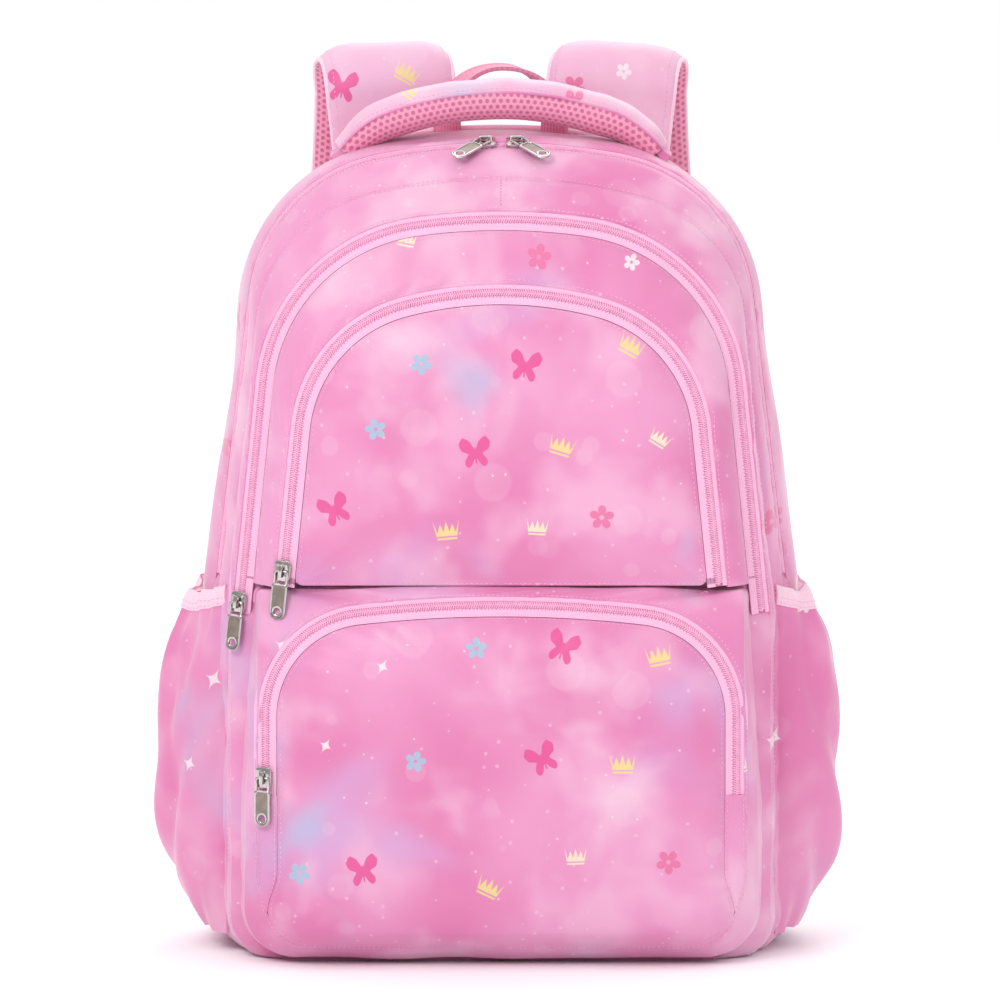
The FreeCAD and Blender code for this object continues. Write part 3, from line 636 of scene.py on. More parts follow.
def print_fabric(name, motifs, source="rest", wash=0.0, tint=(1, 1, 1, 1)):
    """The printed polyester. Each motif is (shape, colour, plane, across, up, half size, turn, squeeze), with
    its place in millimetres in that plane. A share wash of the dye gives way to a plain tint."""
    material, g = new_material(name)
    at = coordinates(g, source)
    dye = g.add("ShaderNodeGroup", node_tree=TIE_DYE)
    g.put(dye.inputs["At"], at)
    colour = g.mix(wash, dye.outputs[0], tint) if wash else dye.outputs[0]
    split = g.add("ShaderNodeSeparateXYZ", {0: at})
    planes = {}
    for plane, (a, b, c) in {"front": (0, 2, 1), "side": (1, 2, 0), "top": (0, 1, 2)}.items():
        if any(m[2].startswith(plane) for m in motifs):
            flat = g.add("ShaderNodeCombineXYZ", {0: split.outputs[a], 1: split.outputs[b]})
            planes[plane] = flat.outputs[0]
    right = g.step(split.outputs[0], -0.001, 0.001)
    left = g.math("SUBTRACT", 1.0, right)
    near = g.step(split.outputs[1], 0.026, 0.02)
    for shape, ink, plane, across, up, half, turn, squeeze in motifs:
        spot = g.add("ShaderNodeGroup", node_tree=MOTIFS[shape])
        g.put(spot.inputs["At"], planes[plane.split("_")[0]])
        spot.inputs["Centre"].default_value = (across * MM, up * MM, 0)
        spot.inputs["Turn"].default_value = math.radians(turn)
        grow = 1.15 if shape == "butterfly" else 1.0
        spot.inputs["Size"].default_value = (half * squeeze * grow * MM, half * grow * MM, 1)
        mask = g.math("MULTIPLY", spot.outputs[0], 0.9)
        if plane == "side_right":
            mask = g.math("MULTIPLY", mask, right)
        elif plane == "side_left":
            mask = g.math("MULTIPLY", mask, left)
        elif plane == "front":
            mask = g.math("MULTIPLY", mask, near)
        colour = g.mix(mask, colour, ink)
    colour = g.mix(1.0, colour, PRINT_DEPTH, "MULTIPLY")
    finish_surface(g, colour, cloth_height(g, at, 0.0009), 0.46, sheen=0.3, depth=0.00012, spec=0.45)
    return material


def plain_cloth(name, colour, pitch=0.0011, rough=0.6, sheen=0.35, source="rest", vary=0.14, depth=0.00015):
    """Cloth of one dyed colour, a little uneven, with painted shade in the weave's low places."""
    material, g = new_material(name)
    at = coordinates(g, source)
    tone = g.noise(at, 38.0, 3.0, 0.6)
    dark = tuple(c * (1 - vary) for c in colour[:3]) + (1.0,)
    mixed = g.mix(g.step(tone, 0.35, 0.65), dark, colour)
    height = cloth_height(g, at, pitch, 0.3)
    # Painted shade: the weave's low places are darkened towards 0.6 of the colour.
    mixed = g.mix(g.math("MULTIPLY", g.step(height, 0.7, 0.25), 0.16), mixed, scaled(colour, 0.6))
    finish_surface(g, mixed, height, rough, sheen=sheen, depth=depth, spec=0.35)
    return material


def ribbed(name, colour, pitch, axis=0, rough=0.55, source="cloth", depth=0.0003, sheen=0.3, dark=0.7):
    """Webbing, elastic or zip tape: ribs pitch metres apart along one direction of the cloth, with painted
    shade in the grooves between them, dark times the colour.
    """
    material, g = new_material(name)
    at = coordinates(g, source)
    split = g.add("ShaderNodeSeparateXYZ", {0: at})
    turns = 2 * math.pi / pitch
    rib = g.math("MULTIPLY_ADD", g.math("SINE", g.math("MULTIPLY", split.outputs[axis], turns)), 0.5, 0.5)
    wave = g.math("SINE", g.math("MULTIPLY", split.outputs[1 - axis], turns * 0.7))
    cross = g.math("MULTIPLY_ADD", wave, 0.5, 0.5)
    fuzz = g.noise(at, 500.0, 2.0, 0.6)
    height = g.math("MULTIPLY_ADD", cross, 0.35, g.math("MULTIPLY_ADD", fuzz, 0.4, rib))
    # Painted shade: the low places between ribs are darkened to dark times the colour.
    groove_shade = tuple(c * dark for c in colour[:3]) + (1.0,)
    tone = g.mix(g.step(height, 0.15, 0.95), groove_shade, colour)
    worn = g.math("MULTIPLY", g.step(g.noise(at, 30.0), 0.4, 0.7), 0.25)
    tone = g.mix(worn, tone, scaled(colour, 1.15))
    finish_surface(g, tone, height, rough, sheen=sheen, depth=depth, spec=0.35)
    return material


def spacer_mesh(name, colour, hole, pitch, source, axes=(0, 1), size=0.3):
    """Air mesh: staggered rows of round holes, pitch metres apart, in a springy knit. The colour hole is
    painted shade inside the holes.
    """
    material, g = new_material(name)
    at = coordinates(g, source)
    split = g.add("ShaderNodeSeparateXYZ", {0: at})
    u = g.math("DIVIDE", split.outputs[axes[0]], pitch)
    v = g.math("DIVIDE", split.outputs[axes[1]], pitch * 0.866)
    row = g.math("FLOOR", v)
    shift = g.math("MULTIPLY", g.math("FLOORED_MODULO", row, 2.0), 0.5)
    a = g.math("SUBTRACT", g.math("FRACT", g.math("ADD", u, shift)), 0.5)
    b = g.math("MULTIPLY", g.math("SUBTRACT", g.math("FRACT", v), 0.5), 0.866)
    flat = g.add("ShaderNodeCombineXYZ", {0: a, 1: b})
    radius = g.add("ShaderNodeVectorMath", {0: flat.outputs[0]}, operation="LENGTH").outputs["Value"]
    wall = g.step(radius, size * 0.72, size * 1.15)
    fuzz = g.noise(at, 900.0, 2.0, 0.6)
    # Painted shade: the holes take the darker colour hole.
    tone = g.mix(wall, hole, colour)
    tone = g.mix(g.math("MULTIPLY", g.step(fuzz, 0.55, 0.75), 0.35), tone, scaled(colour, 1.3))
    height = g.math("MULTIPLY_ADD", fuzz, 0.15, wall)
    finish_surface(g, tone, height, 0.75, sheen=0.4, depth=0.0009, spec=0.25)
    return material


def moulded(name, colour, rough, metal=0.0, source="object", grain=0.1, coat=0.0, scratch=0.0):
    """Metal or moulded plastic with a faint unevenness, and fine scratches on metal."""
    material, g = new_material(name)
    at = coordinates(g, source)
    mottle = g.noise(at, 240.0, 3.0, 0.6)
    dark = tuple(c * (1 - grain) for c in colour[:3]) + (1.0,)
    tone = g.mix(g.step(mottle, 0.35, 0.65), dark, colour)
    stretched = g.vector("MULTIPLY", at, (2600.0, 2600.0, 260.0))
    lines = g.noise(stretched, 1.0, 2.0, 0.7)
    roughness = g.math("MULTIPLY_ADD", g.step(lines, 0.45, 0.7), scratch, rough)
    height = g.math("MULTIPLY_ADD", lines, 0.3, mottle)
    shader = g.add("ShaderNodeBsdfPrincipled", {"Base Color": tone, "Roughness": roughness, "Metallic": metal,
                                                "Coat Weight": coat, "Specular IOR Level": 0.5})
    bump = g.add("ShaderNodeBump", {"Height": height, "Strength": 0.25, "Distance": 0.00005})
    g.put(shader.inputs["Normal"], bump.outputs[0])
    g.add("ShaderNodeOutputMaterial", {"Surface": shader.outputs[0]})
    return material


# shape, ink, half size in millimetres and squeeze of each kind of motif, in the order that they are dealt out
MOTIF_KINDS = [
    ("flower", CORAL, 7.0, 1.0), ("butterfly", HOT, 10.0, 0.85), ("sparkle", WHITE, 8.0, 0.75),
    ("crown", CREAM, 5.5, 1.0), ("flower", SKY, 6.0, 1.0), ("flower", WHITE, 4.5, 1.0),
    ("crown", YELLOW, 6.5, 1.0), ("sparkle", WHITE, 6.0, 0.75),
]


def scattered(seed, plane, across, up, spacing):
    """Motifs on a staggered lattice between two bounds each way, each nudged and turned at random."""
    draw = np.random.default_rng(seed)
    columns_wide = max(1, round((across[1] - across[0]) / spacing))
    rows_tall = max(1, round((up[1] - up[0]) / spacing))
    cell = ((across[1] - across[0]) / columns_wide, (up[1] - up[0]) / rows_tall)
    motifs = []
    for row in range(rows_tall):
        for column in range(columns_wide):
            shape, ink, half, squeeze = MOTIF_KINDS[(seed + 3 * row + 5 * column) % len(MOTIF_KINDS)]
            stagger = 0.25 if row % 2 else -0.25
            nudge = draw.uniform(-0.2, 0.2, 2)
            motifs.append((shape, ink, plane, across[0] + cell[0] * (column + 0.5 + stagger + nudge[0]),
                           up[0] + cell[1] * (row + 0.5 + nudge[1]), half, draw.uniform(-35, 35), squeeze))
    return motifs


FRONT_MOTIFS = scattered(1, "front", (-100, 100), (212, 350), 50)
LOWER_MOTIFS = scattered(4, "front", (-128, 128), (22, 196), 54)
BAND_MOTIFS = scattered(6, "front", (-125, 125), (362, 392), 58)
SIDE_MOTIFS = (scattered(7, "front", (-176, -138), (60, 360), 60)
               + scattered(2, "front", (138, 176), (90, 390), 60)
               + scattered(5, "side", (12, 66), (50, 350), 62) + scattered(3, "top", (-90, 90), (30, 66), 70))
STRAP_MOTIFS = (scattered(9, "front_all", (-98, -28), (432, 470), 36)
                + scattered(0, "front_all", (28, 98), (432, 470), 36))

PRINT_FRONT = print_fabric("print_fabric_front", FRONT_MOTIFS)
PRINT_LOWER = print_fabric("print_fabric_lower", LOWER_MOTIFS)
PRINT_BAND = print_fabric("print_fabric_band", BAND_MOTIFS)
PRINT_SIDE = print_fabric("print_fabric_side", SIDE_MOTIFS)
PRINT_STRAP = print_fabric("print_fabric_strap", STRAP_MOTIFS, wash=0.5, tint=rgb(255, 222, 242))
PRINT_POCKET = print_fabric("print_fabric_pocket", SIDE_MOTIFS, wash=0.3, tint=rgb(236, 112, 178))
PRINT_PLAIN = print_fabric("print_fabric_plain", [])
LINING = plain_cloth("lining_cloth", rgb(244, 170, 206), 0.0008, 0.5)
THREAD = ribbed("sewing_thread", rgb(248, 184, 218), 0.0006, rough=0.5, source="rest", depth=0.0001)
# Thread coloured darker as painted shade: it draws the shade of the front gusset's seam, of the stitch row
# beside each zip's inner tape and of the gaps between a coil's teeth.
PAINTED_SHADE_THREAD = ribbed("painted_shade_thread", rgb(206, 112, 160), 0.0006, rough=0.5, source="rest", depth=0.0001)
TAPE = ribbed("zip_tape_knit", rgb(246, 184, 217), 0.0011, rough=0.6, dark=0.85, depth=0.0002)
COIL = moulded("zip_coil_nylon", rgb(246, 181, 215), 0.42, source="rest")
BINDING = ribbed("binding_elastic", rgb(248, 206, 225), 0.0011, rough=0.6, depth=0.00015, dark=0.86)
WEBBING = ribbed("webbing_weave", rgb(240, 150, 182), 0.0019, rough=0.65, depth=0.0005)
# The second colour of each air mesh is painted shade in its holes.
MESH_BACK = spacer_mesh("air_mesh_back", rgb(243, 164, 194), rgb(198, 104, 142), 0.0042, "rest", (0, 2))
MESH_STRIP = spacer_mesh("air_mesh_strip", rgb(238, 156, 186), rgb(200, 112, 146), 0.0036, "cloth")
FOAM = plain_cloth("foam_cells", rgb(246, 226, 232), 0.0016, 0.85, 0.1, "object")
METAL = moulded("metal_nickel", rgb(200, 194, 192), 0.15, 1.0, scratch=0.08, grain=0.08)
DARK_METAL = moulded("metal_nickel_dark", rgb(156, 144, 136), 0.28, 1.0, scratch=0.15, grain=0.2)
BUCKLE = moulded("buckle_plastic", rgb(238, 140, 176), 0.35, grain=0.06, coat=0.2)


# ---- placing pieces ------------------------------------------------------------------------------
FRONT_BEND = ("bag", "front_section", (0, 0, 150), (0, 0, 215))


def place(mesh, name, materials, body=None, bend=None, nodes=(), slot=None, smooth=42.0, weld=0.0, fill=None):
    """Makes a piece and hangs it on the empty of the body that it rides on; a piece given a bend is only
    baked in place. The CAD nodes that it replaces are hidden.
    """
    thing = mesh.build(name, materials, smooth, weld)
    settle(thing, body, bend, nodes)
    return thing


def settle(thing, body=None, bend=None, nodes=()):
    if bend:
        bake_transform(thing)
    else:
        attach(thing, body)
    if nodes:
        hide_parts(*nodes)


def row_at(grid, distance, from_end=False):
    """The index of the row that lies about distance from the first row, or from the last."""
    across = run_lengths(grid, 0).mean(1)
    far = across[-1] - across if from_end else across
    return int(np.argmin(np.abs(far - distance)))


def hem(mesh, grid, normals, distances=(2.4,), ends=(False, True)):
    """Stitches along the first and last rows of a grid, at distances from them."""
    for from_end in ends:
        for distance in distances:
            i = row_at(grid, distance, from_end)
            mesh.stitches(grid[i], normals[i])


def columns(line_points, keep):
    """The runs of a line's points that keep(z) picks, one for each side."""
    middle = len(line_points) // 2
    right = [i for i in range(middle) if keep(line_points[i, -1])]
    left = [i for i in range(middle, len(line_points)) if keep(line_points[i, -1])]
    return [c for c in (right, left) if len(c) > 2]


# ---- the bag's shell -----------------------------------------------------------------------------
def build_main_shell():
    arch, y_edge = beside_zip("main", MAIN_LIP)
    edges = [at_depth(a.outline(0, CORNER, BASE_HALF), y) for a, y in
             ((MAIN_BACK, Y_BACK), (MAIN_WIDE, Y_WIDE), (arch, y_edge))]
    grid = through_three(edges, (Y_BACK, Y_WIDE, y_edge), 34)
    away = grid - np.array([0, 42, 200])
    grid, normals = shaped(grid, 11, puff=2.6, reach=14, pucker=0.8, pitch=15, fade=9, billow=1.3, size=75,
                           outward=away)
    high = np.clip((grid[..., 2] - 400) / 20, 0, 1)
    near_handle = np.exp(-(grid[..., 0] / 62) ** 4)
    grid[..., 2] -= TOP_SAG * high * near_handle * np.clip((grid[..., 1] - 8) / 14, 0, 1)
    mesh = Mesh()
    mesh.sheet(grid, normals, 2.4)
    hem(mesh, grid, normals)
    place(mesh, "main_shell", [PRINT_SIDE, LINING, THREAD], "bag", nodes=["main_gusset"], slot="print_fabric")
    mesh = Mesh()
    rim = at_depth(MAIN_BACK.offset(0.6).outline(-0.2, CORNER, BASE_HALF), 79.5)
    rim[:, 2] = np.maximum(rim[:, 2], 2.0)
    mesh.tube(rim, 2.0)
    place(mesh, "rear_piping", [BINDING], "bag", slot="binding")


def build_front_gusset():
    lines = [at_depth(a.outline(0, CORNER, BASE_HALF), y) for a, y in
             (beside_zip("main", -MAIN_LIP), (SEAM, Y_SEAM), beside_zip("middle", EDGE_OUT))]
    middle = np.array([0, -20, 200])
    mesh = Mesh()
    for seed, (first, last, puff) in enumerate(((lines[0], lines[1], 1.9), (lines[1], lines[2], 1.5))):
        grid = between([first, last], [15])
        grid, normals = shaped(grid, 21 + 5 * seed, puff=puff, reach=4, pucker=0.55, pitch=13, fade=5,
                               billow=0.8, size=55, outward=grid - middle)
        mesh.sheet(grid, normals, 2.2)
        hem(mesh, grid, normals, (1.8,))
        if seed:
            top = grid.shape[1] // 2
            # A nearly continuous row of stitches in the painted-shade thread, barely proud of the cloth:
            # painted shade along the seam's valley.
            mesh.stitches(grid[:, top], normals[:, top], kind=3, pitch=2.2, long=2.1, half=0.26, proud=0.05)
            mesh.stitches(grid[:, top - 2], normals[:, top - 2])
    last = at_depth(MIDDLE_ZIP.offset(-TAPE_HALF - 1.6).outline(0, CORNER, BASE_HALF), Y_LOWER_BACK)
    for run in columns(lines[2], lambda z: z < 205):
        grid = between([lines[2][run], last[run]], [10])
        grid, normals = shaped(grid, 31, puff=0.7, reach=4, pucker=0.3, outward=grid - middle)
        under = np.clip((grid[..., 2:] - 182) / 4, 0, 1)
        grid = grid - normals * 2.6 * under
        mesh.sheet(grid, normals, 1.6)
    place(mesh, "front_gusset", [PRINT_SIDE, LINING, THREAD, PAINTED_SHADE_THREAD], bend=FRONT_BEND,
          nodes=["lower_front_shell", "middle_gusset"], slot="print_fabric")
    mesh = Mesh()
    arch, y_edge = beside_zip("main", MAIN_LIP)
    first = at_depth(arch.outline(0, CORNER, BASE_HALF), y_edge)
    for run in columns(first, lambda z: z < 206):
        grid = between([first[run], lines[0][run]], [12])
        grid, normals = shaped(grid, 35, puff=0.8, reach=4, pucker=0.4, outward=grid - middle)
        under = np.clip((grid[..., 2:] - 197) / 3, 0, 1)
        grid = grid - normals * 2.6 * under
        mesh.sheet(grid, normals, 1.6)
    place(mesh, "zip_gusset", [PRINT_SIDE, LINING, THREAD],
          bend=("bag", "front_section", (0, 9, 199), (0, -8.2, 203.9)), slot="print_fabric")


def curtain(arch, y, bottom, corner, rows, z_from=None, z_to=None):
    """A flat grid that fills an arch from its right side to its left, in the plane at depth y."""
    half = arch.outline(bottom, corner)
    right = half[:len(half) // 2 + 1]
    if z_from is not None:
        right = right[right[:, 1] >= z_from]
        right = np.concatenate([[(arch.leg_x(z_from), z_from)], right])
    if z_to is not None:
        right = right[right[:, 1] <= z_to]
        right = np.concatenate([right, [(arch.leg_x(z_to), z_to)]])
    right = at_depth(right, y)
    return between([right, right * np.array([-1, 1, 1])], [rows])


def flat_cloth(name, grid, seed, materials, thick=1.6, billow=1.6, face=(0, -1, 0), **placing):
    """A hanging or lining sheet with a soft unevenness."""
    normals = np.broadcast_to(np.array(face, float), grid.shape)
    grid = grid + normals * (billow * ripple(grid, 60, seed))[..., None]
    mesh = Mesh()
    mesh.sheet(grid, normals, thick)
    place(mesh, name, materials, weld=0.05, **placing)


def build_linings():
    flat_cloth("compartment_divider", curtain(SEAM.offset(-3.6), Y_SEAM + 4, 3.6, CORNER - 4, 40), 41,
               [LINING, LINING], bend=FRONT_BEND, nodes=["lower_divider", "main_divider"], slot="lining")
    wall = curtain(MIDDLE_ZIP.offset(-9.5), Y_LOWER_BACK, 4, CORNER - 6, 40, z_to=197)
    flat_cloth("lower_pocket_back", wall, 43, [LINING, LINING], billow=0.7, body="bag", slot="lining")
    fold = curtain(MIDDLE_ZIP.offset(-9.5), Y_LOWER_BACK - 0.9, 0, CORNER, 40, z_from=172, z_to=208)
    flat_cloth("middle_fold", fold, 44, [LINING, LINING], thick=1.0, billow=0.3,
               bend=("front_section", "middle_flap", (0, 0, 176), (0, 0, 204)), slot="lining")
    back = curtain(MIDDLE_ZIP.offset(-12.4), -46.8, 0, CORNER, 40, z_from=203)
    flat_cloth("front_pocket_back_lining", back, 45, [LINING, LINING], billow=0.5, body="middle_flap",
               nodes=["front_pocket_back"], slot="lining")
    x = np.linspace(-108, 108, 60)
    floor = np.stack([np.stack([x, np.full(60, y), np.full(60, z)], 1)
                      for y, z in ((-47, 203.4), (-52, 204), (-57, 204.6), (-62, 204.6), (-67, 204.2))])
    flat_cloth("front_pocket_floor", floor, 46, [LINING, LINING], thick=0.8, billow=0.3, face=(0, 0, 1),
               bend=("middle_flap", "front_flap", (0, -49, 204), (0, -65, 204)), slot="lining")
    rows = []
    for z in np.linspace(8, 299, 60):
        edge = [(122.0 * math.sin(a), 76 - 15.5 * min(1.0, 3.2 * math.cos(a))) for a in
                np.linspace(-math.pi / 2, math.pi / 2, 50)]
        rows.append([(p, q, z) for p, q in edge])
    grid = np.array(rows, float)
    grid, normals = shaped(grid, 47, puff=0.0, billow=1.0, size=60, hold=(True, True),
                           outward=np.broadcast_to(np.array([0, -1.0, 0]), grid.shape))
    mesh = Mesh()
    mesh.sheet(grid, normals, 1.6)
    mesh.stitches(grid[-4], normals[-4])
    place(mesh, "inner_sleeve_cloth", [LINING, LINING, THREAD], "bag", nodes=["inner_sleeve"], slot="lining")


# ---- front panels --------------------------------------------------------------------------------
def rim_distance(grid, rim):
    """Distance from each point of a grid to a closed line, in the plane of x and z."""
    flat = grid.reshape(-1, 3)[:, [0, 2]]
    line_points = rim[:, [0, 2]]
    best = np.full(len(flat), 1e9)
    for a, b in zip(line_points, np.roll(line_points, -1, 0)):
        d = b - a
        t = np.clip(((flat - a) @ d) / max(d @ d, 1e-9), 0, 1)
        best = np.minimum(best, np.linalg.norm(flat - a - t[:, None] * d, axis=1))
    return best.reshape(grid.shape[:2])


def crowned(rim, low, high, forward, soft, rows, seed, billow=0.8, size=60.0, pucker=0.7, pitch=14.0,
            dents=(), ease=None):
    """A crowned front panel: rows from its rim in to an upright line at x = 0 from low to high.
    dents are (x, z, radius, depth) hollows where the cloth sinks; ease is the bottom height and the
    distance over which the crown rises from there."""
    core = rim.copy()
    core[:, 0] = 0
    core[:, 1] = rim[:, 1].min()
    core[:, 2] = np.clip(core[:, 2], low, high)
    t = (1 - np.cos(np.linspace(0, math.pi / 2, rows)))[:, None, None]
    t = t * 0.6 + np.linspace(0, 1, rows)[:, None, None] ** 1.5 * 0.4
    grid = rim[None] * (1 - t) + core[None] * t
    sink = np.clip(t * 6, 0, 1)
    grid[..., 1] = rim[None, :, 1] * (1 - sink[..., 0]) + core[None, :, 1] * sink[..., 0]
    d = rim_distance(grid, rim)
    along = run_lengths(rim[None], 1)[0]
    place_along = np.stack([np.broadcast_to(along, d.shape), d * 0.2], -1)
    lift = forward * (1 - np.exp(-d / soft))
    if ease:
        up = np.clip((grid[..., 2] - ease[0]) / ease[1], 0, 1)
        lift = lift * (0.3 + 0.7 * up * (2 - up))
    lift = lift + pucker * np.exp(-d / 11) * np.minimum(d / 3, 1) * ripple(place_along, pitch, seed)
    lift = lift + billow * np.tanh(d / 20) * ripple(grid[..., [0, 2]], size, seed + 1)
    lift = lift + 0.35 * billow * np.tanh(d / 20) * ripple(grid[..., [0, 2]], size * 0.4, seed + 2)
    for x, z, radius, depth in dents:
        far = np.hypot(grid[..., 0] - x, grid[..., 2] - z) / radius
        lift = lift - depth * np.exp(-far ** 2)
    grid = grid.copy()
    grid[..., 1] -= lift
    slope = grid_normals(grid, True)
    slope = slope * np.sign(-slope[..., 1:2] + 1e-9)
    slope[-3:] = (0, -1, 0)
    return grid, slope


def front_sheet(mesh, grid, normals, thick=2.0, hems=(2.2,)):
    """Adds a crowned panel with its stitches to a mesh."""
    blunt = normals * 0.5 + np.array([0, -0.5, 0])
    mesh.sheet(grid, blunt, thick, closed=True, last_edge=False)
    for distance in hems:
        i = row_at(grid, distance)
        loop = np.concatenate([grid[i], grid[i][:1]])
        mesh.stitches(loop, np.concatenate([normals[i], normals[i][:1]]))


def build_front_panel():
    arch, y_edge = beside_zip("front", EDGE_IN)
    rim = at_depth(arch.outline(202.0, 4), y_edge)[:-1]
    grid, normals = crowned(rim, 262, 300, 13.5, 12.0, 34, 51, billow=1.2, size=64, ease=(202, 52),
                            dents=((62, 250, 26, 1.6), (-48, 286, 30, 1.4)))
    mesh = Mesh()
    front_sheet(mesh, grid, normals)
    place(mesh, "front_panel_cloth", [PRINT_FRONT, LINING, THREAD], "front_flap", nodes=["front_panel"],
          slot="print_fabric", weld=0.05)


def build_middle_band():
    edges = [at_depth(arch.over(200.6), y) for arch, y in
             (beside_zip("middle", EDGE_IN), beside_zip("front", EDGE_OUT))]
    grid = between(edges, [20])
    grid, normals = shaped(grid, 61, puff=3.0, reach=6, pucker=0.7, pitch=14, fade=7, billow=0.9, size=60,
                           outward=grid - np.array([0, 40, 220]))
    mesh = Mesh()
    mesh.sheet(grid, normals, 2.2)
    hem(mesh, grid, normals, (2.0,))
    place(mesh, "middle_band", [PRINT_BAND, LINING, THREAD], "middle_flap", nodes=["middle_panel"],
          slot="print_fabric")


def build_lower_pocket():
    """The frame, the face and the tapered ends of the lower pocket."""
    middle = LOWER_ZIP.outline(10.5, 25)
    share = np.clip((middle[:, 1] - 26) / 24, 0, 1)
    share = (share * share * (3 - 2 * share))[:, None]
    rims = []
    for across in (EDGE_OUT, EDGE_IN):
        arch, y_edge = beside_zip("lower", across)
        edge = middle + (arch.outline(10.5 - across * 0.2, 25) - middle) * share
        y = -72.6 + (y_edge + 72.6) * share[:, 0]
        rims.append(np.stack([edge[:, 0], y, edge[:, 1]], 1))
    frame_rim, face_rim = rims

    seam = POCKET_SEAM.outline(2, 28)
    ridge = at_depth(POCKET_SEAM.offset(-2.4).outline(3.5, 27), Y_LOWER_RIM)
    top = np.clip((ridge[:, 2] - 170) / 25, 0, 1) * np.clip((112 - np.abs(ridge[:, 0])) / 35, 0, 1)
    ridge[:, 1] -= 5.5 * top
    ridge[:, 2] += 3.2 * np.clip((ridge[:, 2] - 190) / 7, 0, 1)
    lines = [at_depth(seam, Y_LOWER_BACK + 5), at_depth(seam, Y_LOWER_BACK), ridge, frame_rim]
    grid = between([p[:-1] for p in lines], [4, 12, 12])
    grid, normals = shaped(grid, 71, puff=0.5, reach=5, pucker=0.5, pitch=14, fade=5, billow=0.5, size=50,
                           closed=True, outward=grid - np.array([0, -30, 100]))
    mesh = Mesh()
    mesh.sheet(grid, normals, 2.2, closed=True)
    hem(mesh, grid, normals, (1.8,), (True,))
    place(mesh, "lower_pocket_frame", [PRINT_LOWER, LINING, THREAD], "bag", nodes=["lower_pocket_gusset"],
          slot="print_fabric")

    grid, normals = crowned(face_rim[:-1], 60, 140, 14.0, 12.0, 36, 73, billow=1.3, size=70,
                            dents=((-60, 60, 34, 1.5), (70, 120, 30, 1.5)))
    mesh = Mesh()
    front_sheet(mesh, grid, normals)
    place(mesh, "lower_face_cloth", [PRINT_LOWER, LINING, THREAD],
          bend=("bag", "lower_flap", (0, 0, 72), (0, 0, 104)), nodes=["lower_panel", "lower_face_panel"],
          slot="print_fabric", weld=0.05)

    mesh = Mesh()
    for run in columns(middle, lambda z: 27 < z < 92):
        grid = between([frame_rim[run], face_rim[run]], [6])
        forward = np.broadcast_to(np.array([0, -1.0, 0]), grid.shape)
        grid, normals = shaped(grid, 75, puff=0.5, reach=2, outward=forward)
        mesh.sheet(grid + normals * 0.3, normals, 0.9)
        for i in (1, -2):
            mesh.stitches(grid[i] + normals[i] * 0.4, normals[i])
    place(mesh, "lower_zip_ends", [PRINT_PLAIN, LINING, THREAD], "bag", nodes=["lower_gusset_tabs"],
          slot="print_fabric")

    mesh = Mesh()
    top = at_depth(POCKET_SEAM.outline(2, 28), Y_LOWER_BACK - 0.5)
    top = top[top[:, 2] > 190]
    mesh.tube(top + np.array([0, 0, 0.2]), 1.1)
    place(mesh, "lower_pocket_piping", [PRINT_PLAIN], "bag", slot="print_fabric")


# ---- zips ----------------------------------------------------------------------------------------
def zip_frame(name, z_end, step=1.0):
    """Points of a zip's middle line step apart, with its directions across, out of its face and along."""
    arch, y, tilt, _ = ZIPS[name]
    path = arch.over(z_end)
    s = run_lengths(path[None], 1)[0]
    even = np.linspace(0, s[-1], int(s[-1] / step))
    path = np.stack([np.interp(even, s, path[:, i]) for i in range(2)], 1)
    way = np.gradient(path, axis=0)
    way /= np.linalg.norm(way, axis=1)[:, None]
    out = np.stack([way[:, 1], -way[:, 0]], 1)
    a = math.radians(tilt)
    wide = np.stack([out[:, 0] * math.cos(a), np.full(len(out), math.sin(a)), out[:, 1] * math.cos(a)], 1)
    face = np.stack([out[:, 0] * math.sin(a), np.full(len(out), -math.cos(a)), out[:, 1] * math.sin(a)], 1)
    along = np.stack([way[:, 0], np.zeros(len(way)), way[:, 1]], 1)
    return at_depth(path, y), wide, face, along, even


def tape_strip(mesh, name, z_end, near, far, z_top=None):
    """A knitted tape from near to far across the zip, which sinks under the cloth beside it."""
    at, wide, face, _, s = zip_frame(name, z_end, 2.5)
    across = np.linspace(near, far, 9)
    grid = np.stack([at + wide * w + face * (0.35 - 1.7 * np.clip((w - 4.4) / 2.4, 0, 1)) for w in across])
    cloth = np.stack([np.stack([np.full(len(s), w), s, np.zeros(len(s))], 1) for w in across])
    runs = [slice(None)] if z_top is None else columns(at, lambda z: z < z_top)
    for run in runs:
        normals = np.broadcast_to(face[run], grid[:, run].shape)
        mesh.sheet(grid[:, run], normals, 0.8, cloth=cloth[:, run])


def teeth(mesh, name, z_end, pitch=1.2):
    """The closed coil: two rows of slanted loops that interlock along the middle."""
    at, wide, face, along, s = zip_frame(name, z_end, pitch / 2)
    profile = [(-0.58, -0.2), (-0.42, 0.5), (0.0, 0.78), (0.42, 0.5), (0.58, -0.2)]
    reach = [(-0.35, 0.75), (0.4, 1.0), (1.4, 0.95), (2.0, 0.5)]
    n = len(profile)
    for i in range(2, len(s) - 2):
        side = 1 if i % 2 else -1
        ring = []
        for across, scale in reach:
            centre = at[i] + wide[i] * across * side + along[i] * 0.35 * across
            ring.append([centre + along[i] * u * scale + face[i] * (v * scale + 0.2) for u, v in profile])
        faces = []
        for r in range(len(reach) - 1):
            for c in range(n - 1):
                quad = (r * n + c, r * n + c + 1, (r + 1) * n + c + 1, (r + 1) * n + c)
                faces.append(quad if side > 0 else quad[::-1])
        faces.append(tuple(range(n)) if side < 0 else tuple(reversed(range(n))))
        last = (len(reach) - 1) * n
        faces.append(tuple(last + c for c in (reversed(range(n)) if side < 0 else range(n))))
        mesh.add(np.array(ring).reshape(-1, 3), faces, 0)


